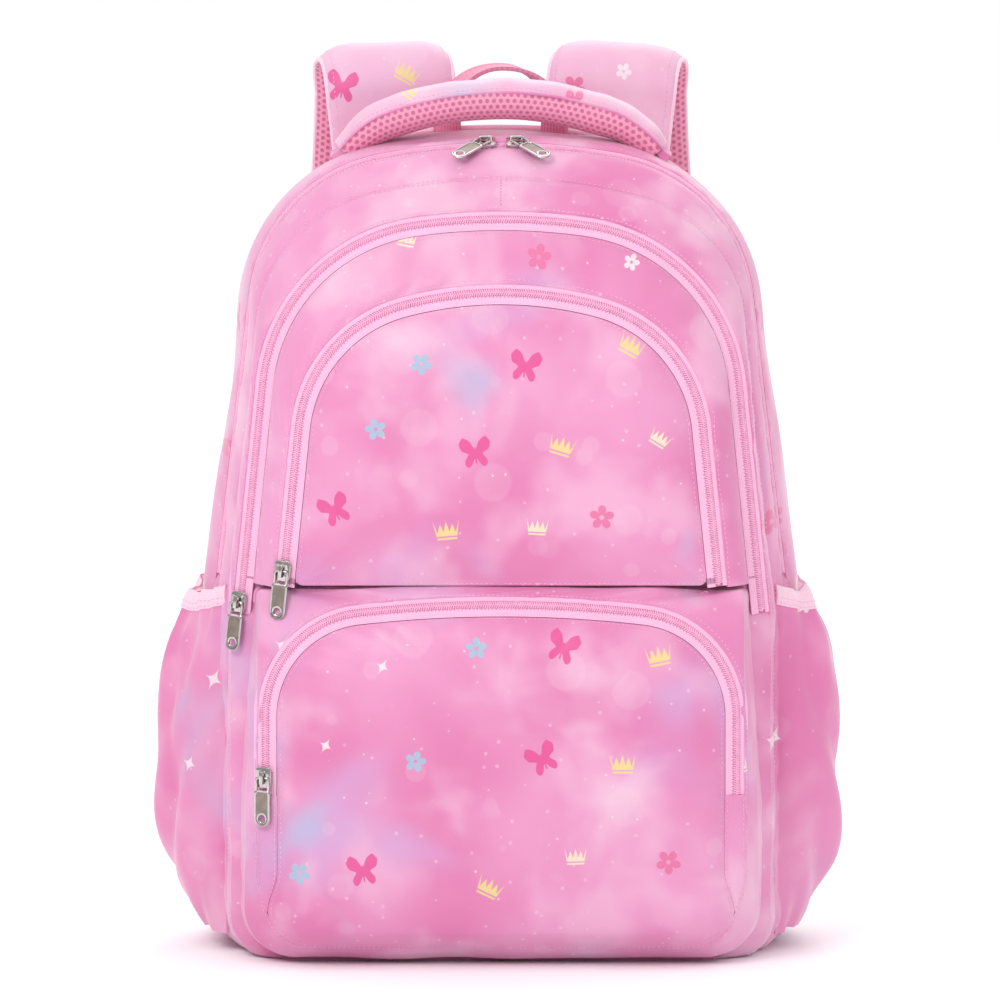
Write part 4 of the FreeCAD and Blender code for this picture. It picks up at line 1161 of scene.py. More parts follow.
def build_zip(name, body, flap, outer, inner):
    """A zip's chain and the tape beside it ride on body, and the tape beyond the chain on flap."""
    z_end = ZIPS[name][3]
    mesh = Mesh()
    teeth(mesh, name, z_end)
    at, wide, face, _, _ = zip_frame(name, z_end, 2.5)
    # The core under the teeth takes the painted-shade thread, so the gaps between teeth show painted shade.
    core = np.stack([at + wide * w + face * 0.1 for w in (-2.4, -0.8, 0.8, 2.4)])
    mesh.sheet(core, np.broadcast_to(face, core.shape), 0.5, kinds=(1, 1))
    place(mesh, name + "_zip_coil", [COIL, PAINTED_SHADE_THREAD], body, nodes=[name + "_zip_chain"], slot="zip_coil")
    for label, carrier, near, far in ((outer, body, 2.0, 7.2), (inner, flap, -6.5, -2.1)):
        mesh = Mesh()
        start = z_end if carrier == body or name == "lower" else max(z_end, FLAP_Z)
        tape_strip(mesh, name, start, near, far)
        if label == outer and z_end < FLAP_Z and name != "lower":
            tape_strip(mesh, name, z_end, -6.5, -2.1, FLAP_Z + 3.5)
        edge_at, edge_wide, edge_face, _, _ = zip_frame(name, start, 2.5)
        w = near + 0.6 if near > 0 else far - 0.5
        mesh.stitches(edge_at + edge_wide * w + edge_face * 0.35, edge_face, long=1.0, pitch=2.0, half=0.22,
                      proud=0.12)
        # The inner tape's stitch row takes the painted-shade thread: a dotted line of painted shade beside
        # the chain.
        place(mesh, name + "_zip_tape_knit_" + label, [TAPE, TAPE, THREAD if near > 0 else PAINTED_SHADE_THREAD],
              carrier, nodes=[name + "_zip_tape_" + label], slot="zip_tape")


# ---- side pockets --------------------------------------------------------------------------------
def pocket_reach(z):
    """The pocket swells from its foot and from its mouth to its fullest height."""
    (end_z, end_x), power = (POCKET_FOOT, 3.0) if z < POCKET_FULL[0] else (POCKET_MOUTH, 2.2)
    share = (z - POCKET_FULL[0]) / (end_z - POCKET_FULL[0])
    return POCKET_FULL[1] - (POCKET_FULL[1] - end_x) * share ** power


def pocket_line(z, grow, count, side):
    """The pocket's outline at height z, from its front seam round to its back seam."""
    front, back, seam = POCKET_FRONT, 72.0, 149.0
    half, sag = (back - front) / 2, pocket_reach(z) - seam
    radius = (half ** 2 + sag ** 2) / (2 * sag)
    opening = math.asin(min(half / radius, 1.0))
    if sag > half:
        opening = math.pi - opening
    a = np.linspace(-opening, opening, count)
    x = seam + sag - radius + (radius + grow) * np.cos(a)
    x = x - 3.5 * np.clip(-a / opening, 0, 1) ** 4
    return np.stack([side * x, (front + back) / 2 + (radius + grow) * np.sin(a), np.full(count, float(z))], 1)


def build_side_pocket(label, side):
    count, rows = 96, 74
    u = np.linspace(0, 1, count)
    mouth = 196 - 8.5 * np.sin(math.pi * u) ** 0.9
    steps = np.linspace(0, 1, rows)
    z = 10 + (mouth[None] - 10) * steps[:, None]
    base = np.stack([pocket_line(h, 0, count, side) for h in np.linspace(10, 196, 94)])
    heights = np.linspace(10, 196, 94)
    grid = np.zeros((rows, count, 3))
    for c in range(count):
        for axis in range(2):
            grid[:, c, axis] = np.interp(z[:, c], heights, base[:, c, axis])
    grid[..., 2] = z
    normals = grid_normals(grid)
    if (normals[..., 0] * side).mean() < 0:
        normals = -normals
    edge = np.minimum(u, 1 - u)[None] * 80
    along = run_lengths(grid, 1)
    below = mouth[None] - z
    tucks = 3.0 * np.exp(-below / 30) * np.tanh(edge / 7) * ripple(
        np.stack([along, below * 0.12], -1), 15, 80 + side)
    tucks = tucks + 1.5 * np.exp(-(z - 10) / 20) * np.tanh(edge / 7) * ripple(
        np.stack([along, z * 0.15], -1), 17, 82 + side)
    folds = 3.3 * np.tanh(edge / 12) * ripple(np.stack([along + 0.35 * z, z * 0.3], -1), 30, 84 + side)
    pinch = 0.8 * np.exp(-edge / 7) * np.minimum(edge / 2, 1) * ripple(
        np.stack([z, np.broadcast_to(edge, z.shape) * 0.3], -1), 15, 86 + side)
    lift = tucks + folds * np.clip((z - 12) / 30, 0, 1) * np.clip(below / 24, 0.25, 1) + pinch - 0.6
    grid = grid + normals * lift[..., None]
    mesh = Mesh()
    mesh.sheet(grid, normals, 1.8)
    name = "side_pocket_" + label
    place(mesh, name + "_cloth", [PRINT_POCKET, LINING], "bag", nodes=[name], slot="print_fabric")

    band_rows = 9
    index = np.linspace(rows - 1 - 4.1, rows - 1, band_rows)
    lower, part = np.floor(index).astype(int), index - np.floor(index)
    upper = np.minimum(lower + 1, rows - 1)
    band = grid[lower] * (1 - part)[:, None, None] + grid[upper] * part[:, None, None]
    out = normals[lower]
    fine = np.linspace(0, 1, count * 3)
    place_in = fine * (count - 1)
    lo, part = np.floor(place_in).astype(int), place_in - np.floor(place_in)
    hi = np.minimum(lo + 1, count - 1)
    band = band[:, lo] * (1 - part)[None, :, None] + band[:, hi] * part[None, :, None]
    out = out[:, lo]
    s = run_lengths(band, 1)
    bulge = np.sin(np.linspace(0, math.pi, band_rows))[:, None]
    band = band + out * (0.5 + 0.8 * bulge + 0.12 * bulge * np.sin(s * 2 * math.pi / 4.1))[..., None]
    cloth = np.stack([s, np.broadcast_to(np.linspace(0, 11, band_rows)[:, None], s.shape), s * 0], -1)
    mesh = Mesh()
    mesh.sheet(band, out, 4.4, kinds=(0, 0), cloth=cloth)
    for row in (1, 3):
        mesh.stitches(band[row] + out[row] * 0.1, out[row], kind=1)
    place(mesh, "pocket_elastic_" + label, [BINDING, THREAD], "bag", nodes=["pocket_binding_" + label],
          slot="binding")


# ---- handle --------------------------------------------------------------------------------------
def build_handle():
    turns = np.radians(np.linspace(-29.0, 29.0, 160))
    share = 1 - (np.minimum(np.abs(turns) / math.radians(29), 1.0)) ** 6 * 0.3
    x = HANDLE_R * np.sin(turns)
    z = HANDLE_RISE - HANDLE_R + HANDLE_R * np.cos(turns) - 0.013 * np.maximum(np.abs(x) - 60, 0) ** 2
    middle = np.stack([x, np.full(160, HANDLE_Y), z], 1)
    way = np.gradient(middle, axis=0)
    way /= np.linalg.norm(way, axis=1)[:, None]
    out = np.stack([-way[:, 2], way[:, 1], way[:, 0]], 1)
    across = np.array([0, 1.0, 0])
    s = HANDLE_R * turns

    def half(low, high, count, tall, seed, pleat, grow=0.0):
        a = np.radians(np.linspace(low, high, count))
        rows = []
        for angle in a:
            c, q = math.cos(angle), math.sin(angle)
            flat = np.sign(c) * abs(c) ** 0.85
            lift = np.sign(q) * abs(q) ** 0.9
            rows.append(middle + across * (-flat) * (15 * share + grow)[:, None]
                        + out * lift * (tall * share + grow)[:, None])
        grid = np.stack(rows)
        girth = run_lengths(grid, 0)
        normals = grid_normals(grid)
        if ((grid - middle) * normals).sum() < 0:
            normals = -normals
        edge = np.minimum(girth, girth[-1:] - girth)
        lift = pleat * np.exp(-edge / 7) * np.minimum(edge / 2, 1) * ripple(
            np.stack([np.broadcast_to(s, girth.shape), girth * 0.2], -1), 11, seed)
        lift = lift + 0.35 * ripple(grid, 30, seed + 1)
        cloth = np.stack([np.broadcast_to(s, girth.shape), girth, girth * 0], -1)
        return grid + normals * lift[..., None], normals, cloth
    bend = ("bag", "handle", (0, 0, 427), (0, 0, 438))
    grid, normals, cloth = half(HANDLE_SEAM, 180 - HANDLE_SEAM, 30, 10.5, 91, 0.7)
    mesh = Mesh()
    mesh.sheet(grid, normals, 2.6, cloth=cloth)
    mesh.stitches(grid[3], normals[3])
    mesh.stitches(grid[-4], normals[-4])
    place(mesh, "handle_top", [PRINT_STRAP, LINING, THREAD], bend=bend, nodes=["handle_cover"],
          slot="print_fabric", fill=0.7)
    grid, normals, cloth = half(HANDLE_SEAM, -180 - HANDLE_SEAM, 34, 11.0, 93, 0.3)
    mesh = Mesh()
    mesh.sheet(grid, normals, 2.6, cloth=cloth)
    place(mesh, "handle_air_mesh", [MESH_STRIP, LINING], bend=bend, nodes=["handle_mesh"], slot="air_mesh",
          fill=0.7)
    mesh = Mesh()
    a = math.radians(HANDLE_SEAM)
    for sign in (-1, 1):
        mesh.tube(middle + across * sign * (15 * share * math.cos(a) ** 0.85 + 0.3)[:, None]
                  + out * (10.8 * share * math.sin(a) ** 0.9)[:, None], 0.8)
    place(mesh, "handle_piping", [PRINT_PLAIN], bend=bend, slot="print_fabric")
    mesh = Mesh()
    for sign in (-1, 1):
        x = np.linspace(70, 90, 12)
        top = np.interp(x, [70, 75, 80, 86, 90], [433.5, 432.0, 428.0, 421.0, 418.5])
        rows = []
        for y in np.linspace(-9, 9, 12):
            dip = 0.8 * (abs(y) / 9) ** 4
            rows.append(np.stack([sign * x, np.full(12, HANDLE_Y + y), top - dip + 0.6], 1))
        grid = np.stack(rows)
        normals = np.broadcast_to(np.array([sign * 0.6, 0, 0.8]), grid.shape)
        mesh.sheet(grid, normals, 4.0)
        for i in (1, 5, 6, -2):
            mesh.stitches(grid[i] + normals[i] * 0.1, normals[i], pitch=1.5, long=1.2)
    place(mesh, "handle_ends", [PRINT_PLAIN, LINING, THREAD], "bag", nodes=["handle_tabs"],
          slot="print_fabric")


# ---- straps --------------------------------------------------------------------------------------
def ribbon(mesh, path, wide, half, thick, kind=0):
    """A flat band along a path; wide is its direction across, and the pattern follows its length."""
    way = np.gradient(path, axis=0)
    way /= np.linalg.norm(way, axis=1)[:, None]
    wide = np.broadcast_to(np.array(wide, float), path.shape)
    face = np.cross(way, wide)
    face /= np.linalg.norm(face, axis=1)[:, None]
    s = run_lengths(path[None], 1)[0]
    across = np.concatenate([[-1, -0.93], np.linspace(-0.8, 0.8, 7), [0.93, 1]])
    drop = np.concatenate([[0.35, 0.05], np.zeros(7), [0.05, 0.35]]) * thick
    grid = np.stack([path + wide * half * w + face * (thick / 2 - d) for w, d in zip(across, drop)])
    cloth = np.stack([np.stack([np.full(len(s), half * w), s, s * 0], 1) for w in across])
    normals = np.broadcast_to(face, grid.shape)
    mesh.sheet(grid, normals, thick, kinds=(kind, kind), cloth=cloth)
    return grid, normals


def strap_line():
    """The middle line of a strap in the plane x = 0, as (y, z), from its root up, over and down."""
    y0, r = STRAP_Y, STRAP_FOLD_R
    centre = np.array([y0, STRAP_TOP - r])
    roll = math.radians(15)
    leave = centre + r * np.array([math.cos(roll), math.sin(roll)])
    end = np.array([121.0, 206.0])
    chord = end - leave
    bulge = roll + math.atan2(leave[0] - end[0], leave[1] - end[1])
    radius = np.linalg.norm(chord) / (2 * math.sin(bulge))
    side = np.array([-chord[1], chord[0]]) / np.linalg.norm(chord)
    hub = leave + chord / 2 - side * radius * math.cos(bulge)
    first = math.atan2(*(leave - hub)[::-1])
    last = math.atan2(*(end - hub)[::-1])
    return joined(line((y0 - r, STRAP_ROOT), (y0 - r, STRAP_TOP - r), 24),
                  arc(centre, r, math.pi, roll, 40), arc(hub, radius, first, last, 130))


def strap_place(points, side):
    """Turns points made in the plane of a strap to where the strap is."""
    a = math.radians(-STRAP_SPLAY)
    p = points - np.array([0, 0, STRAP_TOP])
    turned = np.stack([p[..., 0] * math.cos(a) + p[..., 2] * math.sin(a), p[..., 1],
                       -p[..., 0] * math.sin(a) + p[..., 2] * math.cos(a)], -1)
    return (turned + np.array([STRAP_X, 0, STRAP_TOP])) * np.array([side, 1, 1])


def build_strap(label, side):
    flat = strap_line()
    s = run_lengths(flat[None], 1)[0]
    way = np.gradient(flat, axis=0)
    way /= np.linalg.norm(way, axis=1)[:, None]
    normal2 = np.stack([-way[:, 1], way[:, 0]], 1)
    lean = -STRAP_LEAN * np.clip(1 - s / 74, 0, 1)
    lean = lean + 2.0 * np.sin(math.pi * np.clip((s - 74) / 34, 0, 1))
    lean = lean - 2.5 * np.sin(math.pi * np.clip((s - 108) / 122, 0, 1))
    path = np.stack([lean, flat[:, 0], flat[:, 1]], 1)
    level = 0.14 * np.clip(s / 40, 0, 1) * np.clip((200 - s) / 120, 0, 1)
    fold = np.exp(-((s - 73) / 24) ** 2)
    cover_out = np.stack([np.zeros(len(flat)), normal2[:, 0], normal2[:, 1]], 1)
    left = s[-1] - s
    half = STRAP_HALF - 0.8 - 11.0 * np.clip(1 - left / 42, 0, 1) ** 2.2
    bend = ("bag", "strap_" + label, (0, 92, 0), (0, 118, 0))
    across = np.sin(np.linspace(-math.pi / 2, math.pi / 2, 34))

    def drop(w):
        return np.array([0, 0, -1.0]) * (level * half * w + 3.2 * fold * abs(w) ** 4)[:, None]

    def layer(direction, tall, seed, pleat):
        rows = []
        for w in across:
            plump = tall * (1 - abs(w) ** 5) ** 0.6
            end = np.clip(left / 3.0, 0.15, 1)
            rows.append(path + np.array([1.0, 0, 0]) * (half * w)[:, None] + drop(w)
                        + cover_out * direction * (plump * end + 0.25)[:, None])
        grid = np.stack(rows)
        girth = run_lengths(grid, 0)
        edge = np.minimum(girth, girth[-1:] - girth)
        lift = pleat * np.exp(-edge / 9) * np.minimum(edge / 2, 1) * ripple(
            np.stack([np.broadcast_to(s, edge.shape), edge * 0.2], -1), 14, seed)
        lift = lift + 0.45 * np.tanh(edge / 8) * ripple(grid, 42, seed + 1)
        grid = grid + cover_out * direction * lift[..., None]
        cloth = np.stack([np.broadcast_to(s, edge.shape), girth, girth * 0], -1)
        placed = strap_place(grid, side)
        normals = grid_normals(placed)
        out = strap_place(grid + cover_out * direction, side) - placed
        if (normals * out).sum() < 0:
            normals = -normals
        return placed, normals, cloth
    grid, normals, cloth = layer(1, 4.4, 101 + side, 0.55)
    mesh = Mesh()
    mesh.sheet(grid, normals, 2.0, cloth=None)
    for i in (row_at(grid, 4.5), row_at(grid, 4.5, True)):
        mesh.stitches(grid[i], normals[i])
    place(mesh, "strap_cloth_" + label, [PRINT_STRAP, LINING, THREAD], bend=bend,
          nodes=["strap_cover_" + label], slot="print_fabric", fill=0.6)
    grid, normals, cloth = layer(-1, 4.4, 105 + side, 0.3)
    mesh = Mesh()
    mesh.sheet(grid, normals, 2.0, cloth=cloth)
    place(mesh, "strap_air_mesh_" + label, [MESH_STRIP, LINING], bend=bend, nodes=["strap_mesh_" + label],
          slot="air_mesh", fill=0.6)
    mesh = Mesh()
    ends = [path + np.array([1.0, 0, 0]) * (half * w)[:, None] + drop(w) for w in (-1, 1)]
    tip = np.linspace(ends[0][-1], ends[1][-1], 12)[1:-1]
    loop = np.concatenate([ends[0], tip, ends[1][::-1]])
    mesh.tube(strap_place(loop, side), 1.25, sides=10)
    place(mesh, "strap_binding_" + label, [BINDING], bend=bend, slot="binding")


def build_strap_webbing(label, side):
    lock, anchor = np.array(LOCK_AT), np.array(ANCHOR_AT)
    down = (anchor - lock) / np.linalg.norm(anchor - lock)
    across = -np.cross(down, (0, 1, 0))
    across /= np.linalg.norm(across)
    face = np.cross(across, down)
    length = np.linalg.norm(anchor - lock)
    mirror = np.array([side, 1, 1])

    def spots(pairs):
        return np.array([lock + down * a + face * b for a, b in pairs])
    load = [(a, -3.1 + 0.4 * math.sin(a / 24)) for a in np.linspace(length, 0, 50)]
    turn = [(-1.5 - 1.9 * math.sin(t), -3.1 * math.cos(t)) for t in np.linspace(0, math.pi, 14)]
    tail = [(a, 3.1 + 2.4 * math.sin(math.pi * min(a / 104, 1))) for a in np.linspace(2, 104, 44)]
    body = "strap_" + label
    mesh = Mesh()
    path = spots(load + turn + tail)
    grid, normals = ribbon(mesh, path * mirror, across * mirror, 12.5, 1.5)
    hem_path = spots([(a, 3.1 + 1.6 + 2.4 * math.sin(math.pi * min(a / 104, 1)))
                      for a in np.linspace(88, 104, 10)])
    grid, normals = ribbon(mesh, hem_path * mirror, across * mirror, 12.4, 1.4)
    line_at = hem_path[2] * mirror
    ends = np.linspace(line_at - across * mirror * 11, line_at + across * mirror * 11, 12)
    mesh.stitches(ends + face * mirror * 1.0, np.broadcast_to(face * mirror, ends.shape), kind=1)
    loop = spots([(-5.6 - 9.5 * (0.5 - 0.5 * math.cos(t)), 3.0 * math.sin(t)) for t in
                  np.linspace(0, 2 * math.pi, 34)])
    ribbon(mesh, loop * mirror, across * mirror, 12.4, 1.3)
    place(mesh, "lower_webbing_" + label, [WEBBING, THREAD], body, nodes=["strap_webbing_" + label],
          slot="webbing")

    seam = np.linspace((106, 82.5, 12), (142, 82.5, 24), 18)
    tip = anchor + down * 1.0
    end = np.linspace(tip - across * 13.5, tip + across * 13.5, 18)
    if np.linalg.norm(seam[0] - end[0]) > np.linalg.norm(seam[0] - end[-1]):
        end = end[::-1]
    end = end - face * 1.2
    grid = between([seam, end], [20]) * mirror
    grid, normals = shaped(grid, 111, puff=0.9, reach=5, pucker=0.3, billow=0.3, size=30,
                           outward=np.broadcast_to(np.array([0, 1.0, 0]), grid.shape))
    mesh = Mesh()
    mesh.sheet(grid + normals * 1.2, normals, 2.8)
    hem(mesh, grid + normals * 1.2, normals, (2.0, 8.0))
    for column in (1, -2):
        mesh.stitches(grid[:, column] + normals[:, column] * 1.2, normals[:, column])
    place(mesh, "anchor_cloth_" + label, [PRINT_PLAIN, LINING, THREAD], "bag",
          nodes=["strap_anchor_" + label], slot="print_fabric")


def build_yoke():
    x, z = np.linspace(-104, 104, 90), 380 + 28 * graded(16)
    round_off = 14 * (np.clip(abs(x) - 76, 0, 28) / 28) ** 2
    grid = np.stack([np.stack([x, np.full(90, 86.0), h - round_off * (h - 380) / 28], 1) for h in z])
    edge = np.minimum(np.minimum(grid[..., 0] + 104, 104 - grid[..., 0]),
                      np.minimum(grid[..., 2] - 380, 408 - round_off - grid[..., 2]))
    grid[..., 1] -= 2.2 * np.exp(-edge / 1.6) - 0.25 * ripple(grid[..., [0, 2]], 16, 121)
    normals = np.broadcast_to(np.array([0, 1.0, 0]), grid.shape)
    mesh = Mesh()
    mesh.sheet(grid, normals, 3.6)
    hem(mesh, grid, normals, (2.4, 6.0))
    place(mesh, "yoke_cloth", [PRINT_PLAIN, LINING, THREAD], "bag", nodes=["strap_yoke"], slot="print_fabric")
    mesh = Mesh()
    a = np.linspace(0, math.pi, 50)
    arch_points = np.stack([28 * np.cos(a), np.full(50, 74.0), 432 + 28 * np.sin(a) + 0.4 * np.sin(3 * a)], 1)
    path = np.concatenate([[(28, 74, 424.5), (28, 74, 428)], arch_points, [(-28, 74, 428), (-28, 74, 424.5)]])
    way = np.gradient(path, axis=0)
    way /= np.linalg.norm(way, axis=1)[:, None]
    inside = np.stack([way[:, 2], way[:, 1], -way[:, 0]], 1)
    t = np.linspace(-1, 1, len(path))
    twist = np.radians(62 * np.abs(t) ** 1.6 * np.sign(t))
    wide = np.array([0, 1.0, 0]) * np.cos(twist)[:, None] + inside * np.sin(twist)[:, None]
    ribbon(mesh, path, wide, 8.0, 1.7)
    place(mesh, "hang_loop_webbing", [WEBBING], "bag", nodes=["hang_loop"], slot="webbing")


# ---- back ----------------------------------------------------------------------------------------
def build_back():
    rim = at_depth(MAIN_BACK.offset(-0.8).outline(0.8, CORNER - 0.8), 79.0)[:-1]
    grid, normals = crowned(rim, 140, 300, 3.4, 7.0, 34, 131, billow=0.3, size=60, pucker=0.25)
    grid = grid * np.array([1, -1, 1]) + np.array([0, 158.0, 0])
    normals = np.broadcast_to(np.array([0, 1.0, 0]), grid.shape)
    mesh = Mesh()
    mesh.sheet(grid, normals, 5.2, closed=True, last_edge=False)
    i = row_at(grid, 5.0)
    mesh.stitches(grid[i], normals[i])
    place(mesh, "back_cloth", [MESH_BACK, LINING, THREAD], "bag", nodes=["back_panel"], slot="air_mesh",
          weld=0.05)


def swell(start):
    """Cloth simulation: the closed mesh start fills with air and keeps the shape it reaches."""
    rest = np.array([v.co for v in start.data.vertices])
    cloth = start.modifiers.new("Cloth", "CLOTH")
    cloth.settings.use_pressure = True
    cloth.settings.uniform_pressure_force = 4.0
    cloth.settings.effector_weights.gravity = 0.0
    scene = bpy.context.scene
    for f in range(1, 21):
        scene.frame_set(f)
    graph = bpy.context.evaluated_depsgraph_get()
    swollen = np.array([v.co for v in start.evaluated_get(graph).data.vertices])
    start.modifiers.remove(cloth)
    scene.frame_set(1)
    return rest, swollen


def build_pad(node, name, cap=5.0, grooves=()):
    """A foam pad: its CAD solid drawn in a little, remeshed and blown up, then pressed with channels."""
    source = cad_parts[node]
    low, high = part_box(node)
    middle = (low + high) / 2
    mesh = source.data.copy()
    mesh.name = name
    pad = bpy.data.objects.new(name, mesh)
    bpy.context.scene.collection.objects.link(pad)
    mesh.materials.clear()
    shrink = Vector((0.975, 0.8, 0.985))
    for v in mesh.vertices:
        v.co = Vector(middle[i] + (v.co[i] - middle[i]) * shrink[i] for i in range(3))
    bpy.context.view_layer.objects.active = pad
    remesh = pad.modifiers.new("Remesh", "REMESH")
    remesh.mode = "VOXEL"
    remesh.voxel_size = 0.0042
    graph = bpy.context.evaluated_depsgraph_get()
    pad.data = bpy.data.meshes.new_from_object(pad.evaluated_get(graph))
    pad.modifiers.clear()
    rest, swollen = swell(pad)
    move = swollen - rest
    length = np.maximum(np.linalg.norm(move, axis=1, keepdims=True), 1e-9)
    move *= np.minimum(1, cap * MM / length)
    for v, p in zip(pad.data.vertices, rest + move):
        v.co = p
    subdivide = pad.modifiers.new("Subdivide", "SUBSURF")
    subdivide.levels = 2
    subdivide.render_levels = 2
    graph = bpy.context.evaluated_depsgraph_get()
    pad.data = bpy.data.meshes.new_from_object(pad.evaluated_get(graph))
    pad.modifiers.clear()
    pad.data.name = name
    points = np.array([v.co for v in pad.data.vertices]) / MM
    top = high[1] / MM
    for x, z, along, reach, depth in grooves:
        c = np.array([x, z])
        d = np.array([math.cos(math.radians(along)), math.sin(math.radians(along))])
        rel = points[:, [0, 2]] - c
        off = np.abs(rel @ np.array([-d[1], d[0]]))
        within = np.abs(rel @ d) < reach
        front = np.clip((points[:, 1] - (top - 7)) / 4, 0, 1)
        points[:, 1] -= depth * np.exp(-(off / 2.6) ** 2) * within * front
    points[:, 1] = np.clip(points[:, 1], low[1] / MM, top + 3.0)
    for v, p in zip(pad.data.vertices, points * MM):
        v.co = p
    rest = pad.data.attributes.new("rest", "FLOAT_VECTOR", "POINT")
    rest.data.foreach_set("vector", (points * MM).astype(np.float32).ravel())
    pad.data.materials.clear()
    pad.data.materials.append(MESH_BACK)
    pad.data.polygons.foreach_set("use_smooth", [True] * len(pad.data.polygons))
    settle(pad, "bag", nodes=[node])
    return pad


# ---- hard parts ----------------------------------------------------------------------------------
def part_axes(node, neighbour):
    """The origin and the axes across, out of and along a flat pull, from its CAD node. The last axis runs
    towards the neighbouring node, and the origin is in the pull's crossbar."""
    points = np.array([v.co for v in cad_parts[node].data.vertices]) / MM
    middle = points.mean(0)
    along, across, thin = np.linalg.svd(points - middle, full_matrices=False)[2]
    low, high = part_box(neighbour)
    if (np.array(low + high) / 2 / MM - middle) @ along < 0:
        along = -along
    reach = [((points - middle) @ axis) for axis in (across, thin, along)]
    origin = (middle + across * (reach[0].max() + reach[0].min()) / 2
              + thin * (reach[1].max() + reach[1].min()) / 2 + along * (reach[2].max() - PULL_BAR))
    return origin, across, thin, along


def pull_outline(inset):
    """The tab of a pull seen flat, from its round lower end round to its top and back."""
    r, top, corner = PULL_HALF - inset, PULL_TOP - inset, 1.4
    return joined(arc((0, PULL_END), r, 0, -math.pi, 33), line((-r, PULL_END), (-r, top - corner), 9),
                  arc((corner - r, top - corner), corner, math.pi, math.pi / 2, 6),
                  line((corner - r, top), (r - corner, top), 7),
                  arc((r - corner, top - corner), corner, math.pi / 2, 0, 6),
                  line((r, top - corner), (r, PULL_END), 9))[:-1]


def build_pull(name):
    """A zip pull: two arms from its crossbar, and a tab with a raised rim and a ringed hole."""
    origin, across, thin, along = part_axes(name, name.replace("pull", "slider"))
    hole = np.array([0, PULL_END])
    away = pull_outline(0) - hole
    away /= np.linalg.norm(away, axis=1)[:, None]
    front = [(hole + away * 2.0, 0.55, 0), (hole + away * 2.3, 0.7, 0), (hole + away * 2.9, 0.7, 0),
             (hole + away * 3.05, 0.25, 1), (pull_outline(1.15), 0.25, 0), (pull_outline(0.95), 0.65, 0),
             (pull_outline(0.35), 0.7, 0), (pull_outline(0.0), 0.35, 0)]
    back = front[::-1]
    kinds = [kind for _, _, kind in back[1:] + front[:1]]
    rings = front + [(ring, -y, kind) for (ring, y, _), kind in zip(back, kinds)]
    rings.append(front[0])
    mesh = Mesh()
    for (first, y, kind), (last, z, _) in zip(rings, rings[1:]):
        pair = [origin + ring[:, :1] * across + height * thin + ring[:, 1:] * along
                for ring, height in ((first, y), (last, z))]
        mesh.grid(np.stack(pair), closed=True, kind=kind)
    r = PULL_HALF - 0.9
    loop = joined(line((-r, PULL_TOP), (-r, -1.6), 6), arc((1.6 - r, -1.6), 1.6, math.pi, math.pi / 2, 8),
                  line((1.6 - r, 0), (r - 1.6, 0), 6), arc((r - 1.6, -1.6), 1.6, math.pi / 2, 0, 8),
                  line((r, -1.6), (r, PULL_TOP), 6))
    mesh.tube(origin + loop[:, :1] * across + loop[:, 1:] * along, 0.75, sides=10)
    place(mesh, name + "_metal", [METAL, DARK_METAL], name, nodes=[name], slot="metal", weld=0.02)


def refined(node, name, body, material, width):
    """A hard part with its edges rounded: the CAD mesh with a small bevel."""
    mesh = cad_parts[node].data.copy()
    mesh.name = name
    part = bpy.data.objects.new(name, mesh)
    bpy.context.scene.collection.objects.link(part)
    work = bmesh.new()
    work.from_mesh(mesh)
    bmesh.ops.remove_doubles(work, verts=work.verts, dist=1e-6)
    bmesh.ops.dissolve_limit(work, angle_limit=math.radians(2), verts=work.verts, edges=work.edges)
    work.to_mesh(mesh)
    work.free()
    bevel = part.modifiers.new("Bevel", "BEVEL")
    bevel.width = width * MM
    bevel.segments = 2
    bevel.limit_method = "ANGLE"
    bevel.angle_limit = math.radians(35)
    graph = bpy.context.evaluated_depsgraph_get()
    part.data = bpy.data.meshes.new_from_object(part.evaluated_get(graph))
    part.data.name = name
    part.modifiers.clear()
    part.data.materials.clear()
    part.data.materials.append(material)
    part.data.polygons.foreach_set("use_smooth", [True] * len(part.data.polygons))
    part.data.set_sharp_from_angle(angle=math.radians(40))
    settle(part, body, nodes=[node])
    return part


def repaint(node, material):
    """A CAD node that stays as it is gets a better material."""
    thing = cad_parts[node]
    thing.data.materials.clear()
    thing.data.materials.append(material)


# ---- assembly ------------------------------------------------------------------------------------
build_main_shell()
build_front_gusset()
build_linings()
build_front_panel()
build_middle_band()
build_lower_pocket()
build_zip("main", "bag", "front_section", "rear", "front")
build_zip("middle", "front_section", "middle_flap", "outer", "inner")
build_zip("front", "middle_flap", "front_flap", "outer", "inner")
build_zip("lower", "bag", "lower_flap", "outer", "inner")
for label, side in (("right", 1), ("left", -1)):
    build_side_pocket(label, side)
    build_strap(label, side)
    build_strap_webbing(label, side)
build_handle()
build_yoke()
build_back()
for label, x in (("right", 60), ("left", -60)):
    build_pad("back_pad_" + label, "back_cushion_" + label, grooves=[
        (x, 205, 0, 40, 2.4), (x, 261, 0, 40, 2.4), (x, 317, 0, 40, 2.4)])
build_pad("lumbar_pad", "lumbar_cushion", grooves=[(-33, 86, 90, 44, 2.4), (33, 86, 90, 44, 2.4)])
for name in ("main_slider_left", "main_slider_right", "middle_slider", "front_slider", "lower_slider"):
    refined(name, name + "_metal", name, METAL, 0.6)
for name in ("main_pull_left", "main_pull_right", "middle_pull", "front_pull", "lower_pull"):
    build_pull(name)
for label in ("left", "right"):
    refined("ladder_lock_" + label, "strap_buckle_" + label, "strap_" + label, BUCKLE, 0.6)
repaint("handle_foam", FOAM)
repaint("base_panel", plain_cloth("base_cloth", rgb(236, 150, 192), 0.0012, 0.7, source="object"))


# ---- floor, light and camera ---------------------------------------------------------------------
SKY_SIDE, SKY_TOP, SKY_BACK = 0.3, 1.25, 0.35
LIGHTS = [("key", (-1.3, -2.2, 2.1), 1.2, 34.0), ("fill", (1.9, -1.8, 1.0), 1.4, 8.0),
          ("back", (0.4, 2.2, 1.8), 1.6, 14.0)]


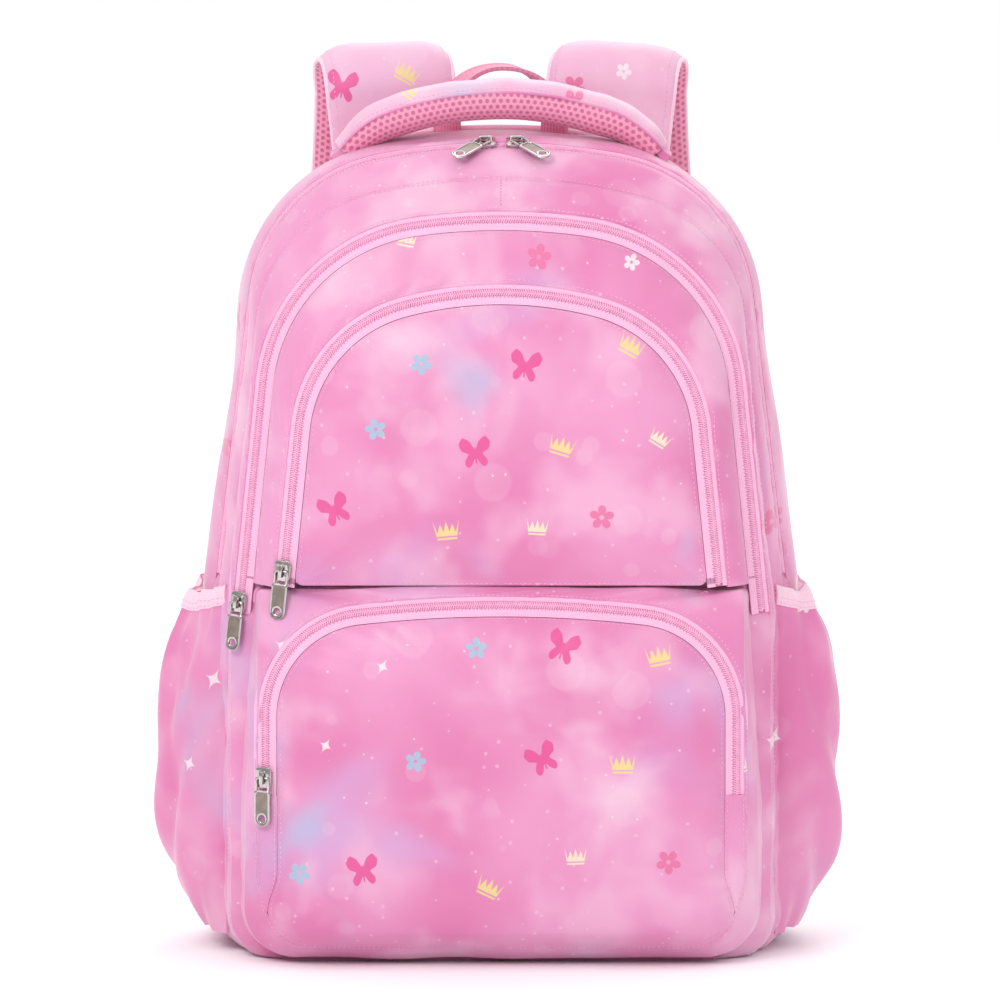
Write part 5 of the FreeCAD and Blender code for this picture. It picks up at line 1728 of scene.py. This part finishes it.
def build_stage():
    bpy.ops.mesh.primitive_plane_add(size=30, location=(0, 0, 0))
    floor = bpy.context.object
    floor.name = "floor"
    material, g = new_material("pale_floor")
    tone = g.mix(g.noise(coordinates(g, "object"), 2.0), (0.98, 0.98, 0.98, 1), (0.995, 0.995, 0.995, 1))
    finish_surface(g, tone, None, 0.7, sheen=0.0, spec=0.2)
    floor.data.materials.append(material)
    world = bpy.data.worlds.new("studio")
    bpy.context.scene.world = world
    world.use_nodes = True
    g = Graph(world.node_tree)
    split = g.add("ShaderNodeSeparateXYZ", {0: g.add("ShaderNodeTexCoord").outputs["Generated"]})
    bright = g.math("MULTIPLY_ADD", g.math("MAXIMUM", split.outputs[2], 0.0), SKY_TOP - SKY_SIDE, SKY_SIDE)
    bright = g.math("MULTIPLY_ADD", g.math("MAXIMUM", split.outputs[1], 0.0), SKY_BACK, bright)
    background = world.node_tree.nodes["Background"]
    background.inputs[0].default_value = (1, 1, 1, 1)
    g.put(background.inputs[1], bright)
    for name, at, size, power in LIGHTS:
        light = bpy.data.lights.new(name, "AREA")
        light.energy = power
        light.size = size
        lamp = bpy.data.objects.new(name, light)
        lamp.location = at
        lamp.rotation_mode = "QUATERNION"
        lamp.rotation_quaternion = (Vector(at) - Vector((0, 0, 0.22))).to_track_quat("Z", "Y")
        bpy.context.scene.collection.objects.link(lamp)
    bpy.context.scene.view_settings.view_transform = "Standard"


def build_camera(distance=20.0, elevation=7.5, width=0.526):
    """A long lens from the front, width metres across at the depth of the front panel."""
    camera = bpy.data.objects.new("camera", bpy.data.cameras.new("camera"))
    bpy.context.scene.collection.objects.link(camera)
    bpy.context.scene.camera = camera
    e = math.radians(elevation)
    back = Vector((0, -math.cos(e), math.sin(e)))
    aim = Vector((-0.0005, -0.075, 0.2484))
    camera.location = aim + back * distance
    camera.rotation_mode = "QUATERNION"
    camera.rotation_quaternion = back.to_track_quat("Z", "Y")
    camera.data.sensor_width = 36
    camera.data.lens = 36 * distance / width
    camera.data.clip_end = 100


build_stage()
build_camera()
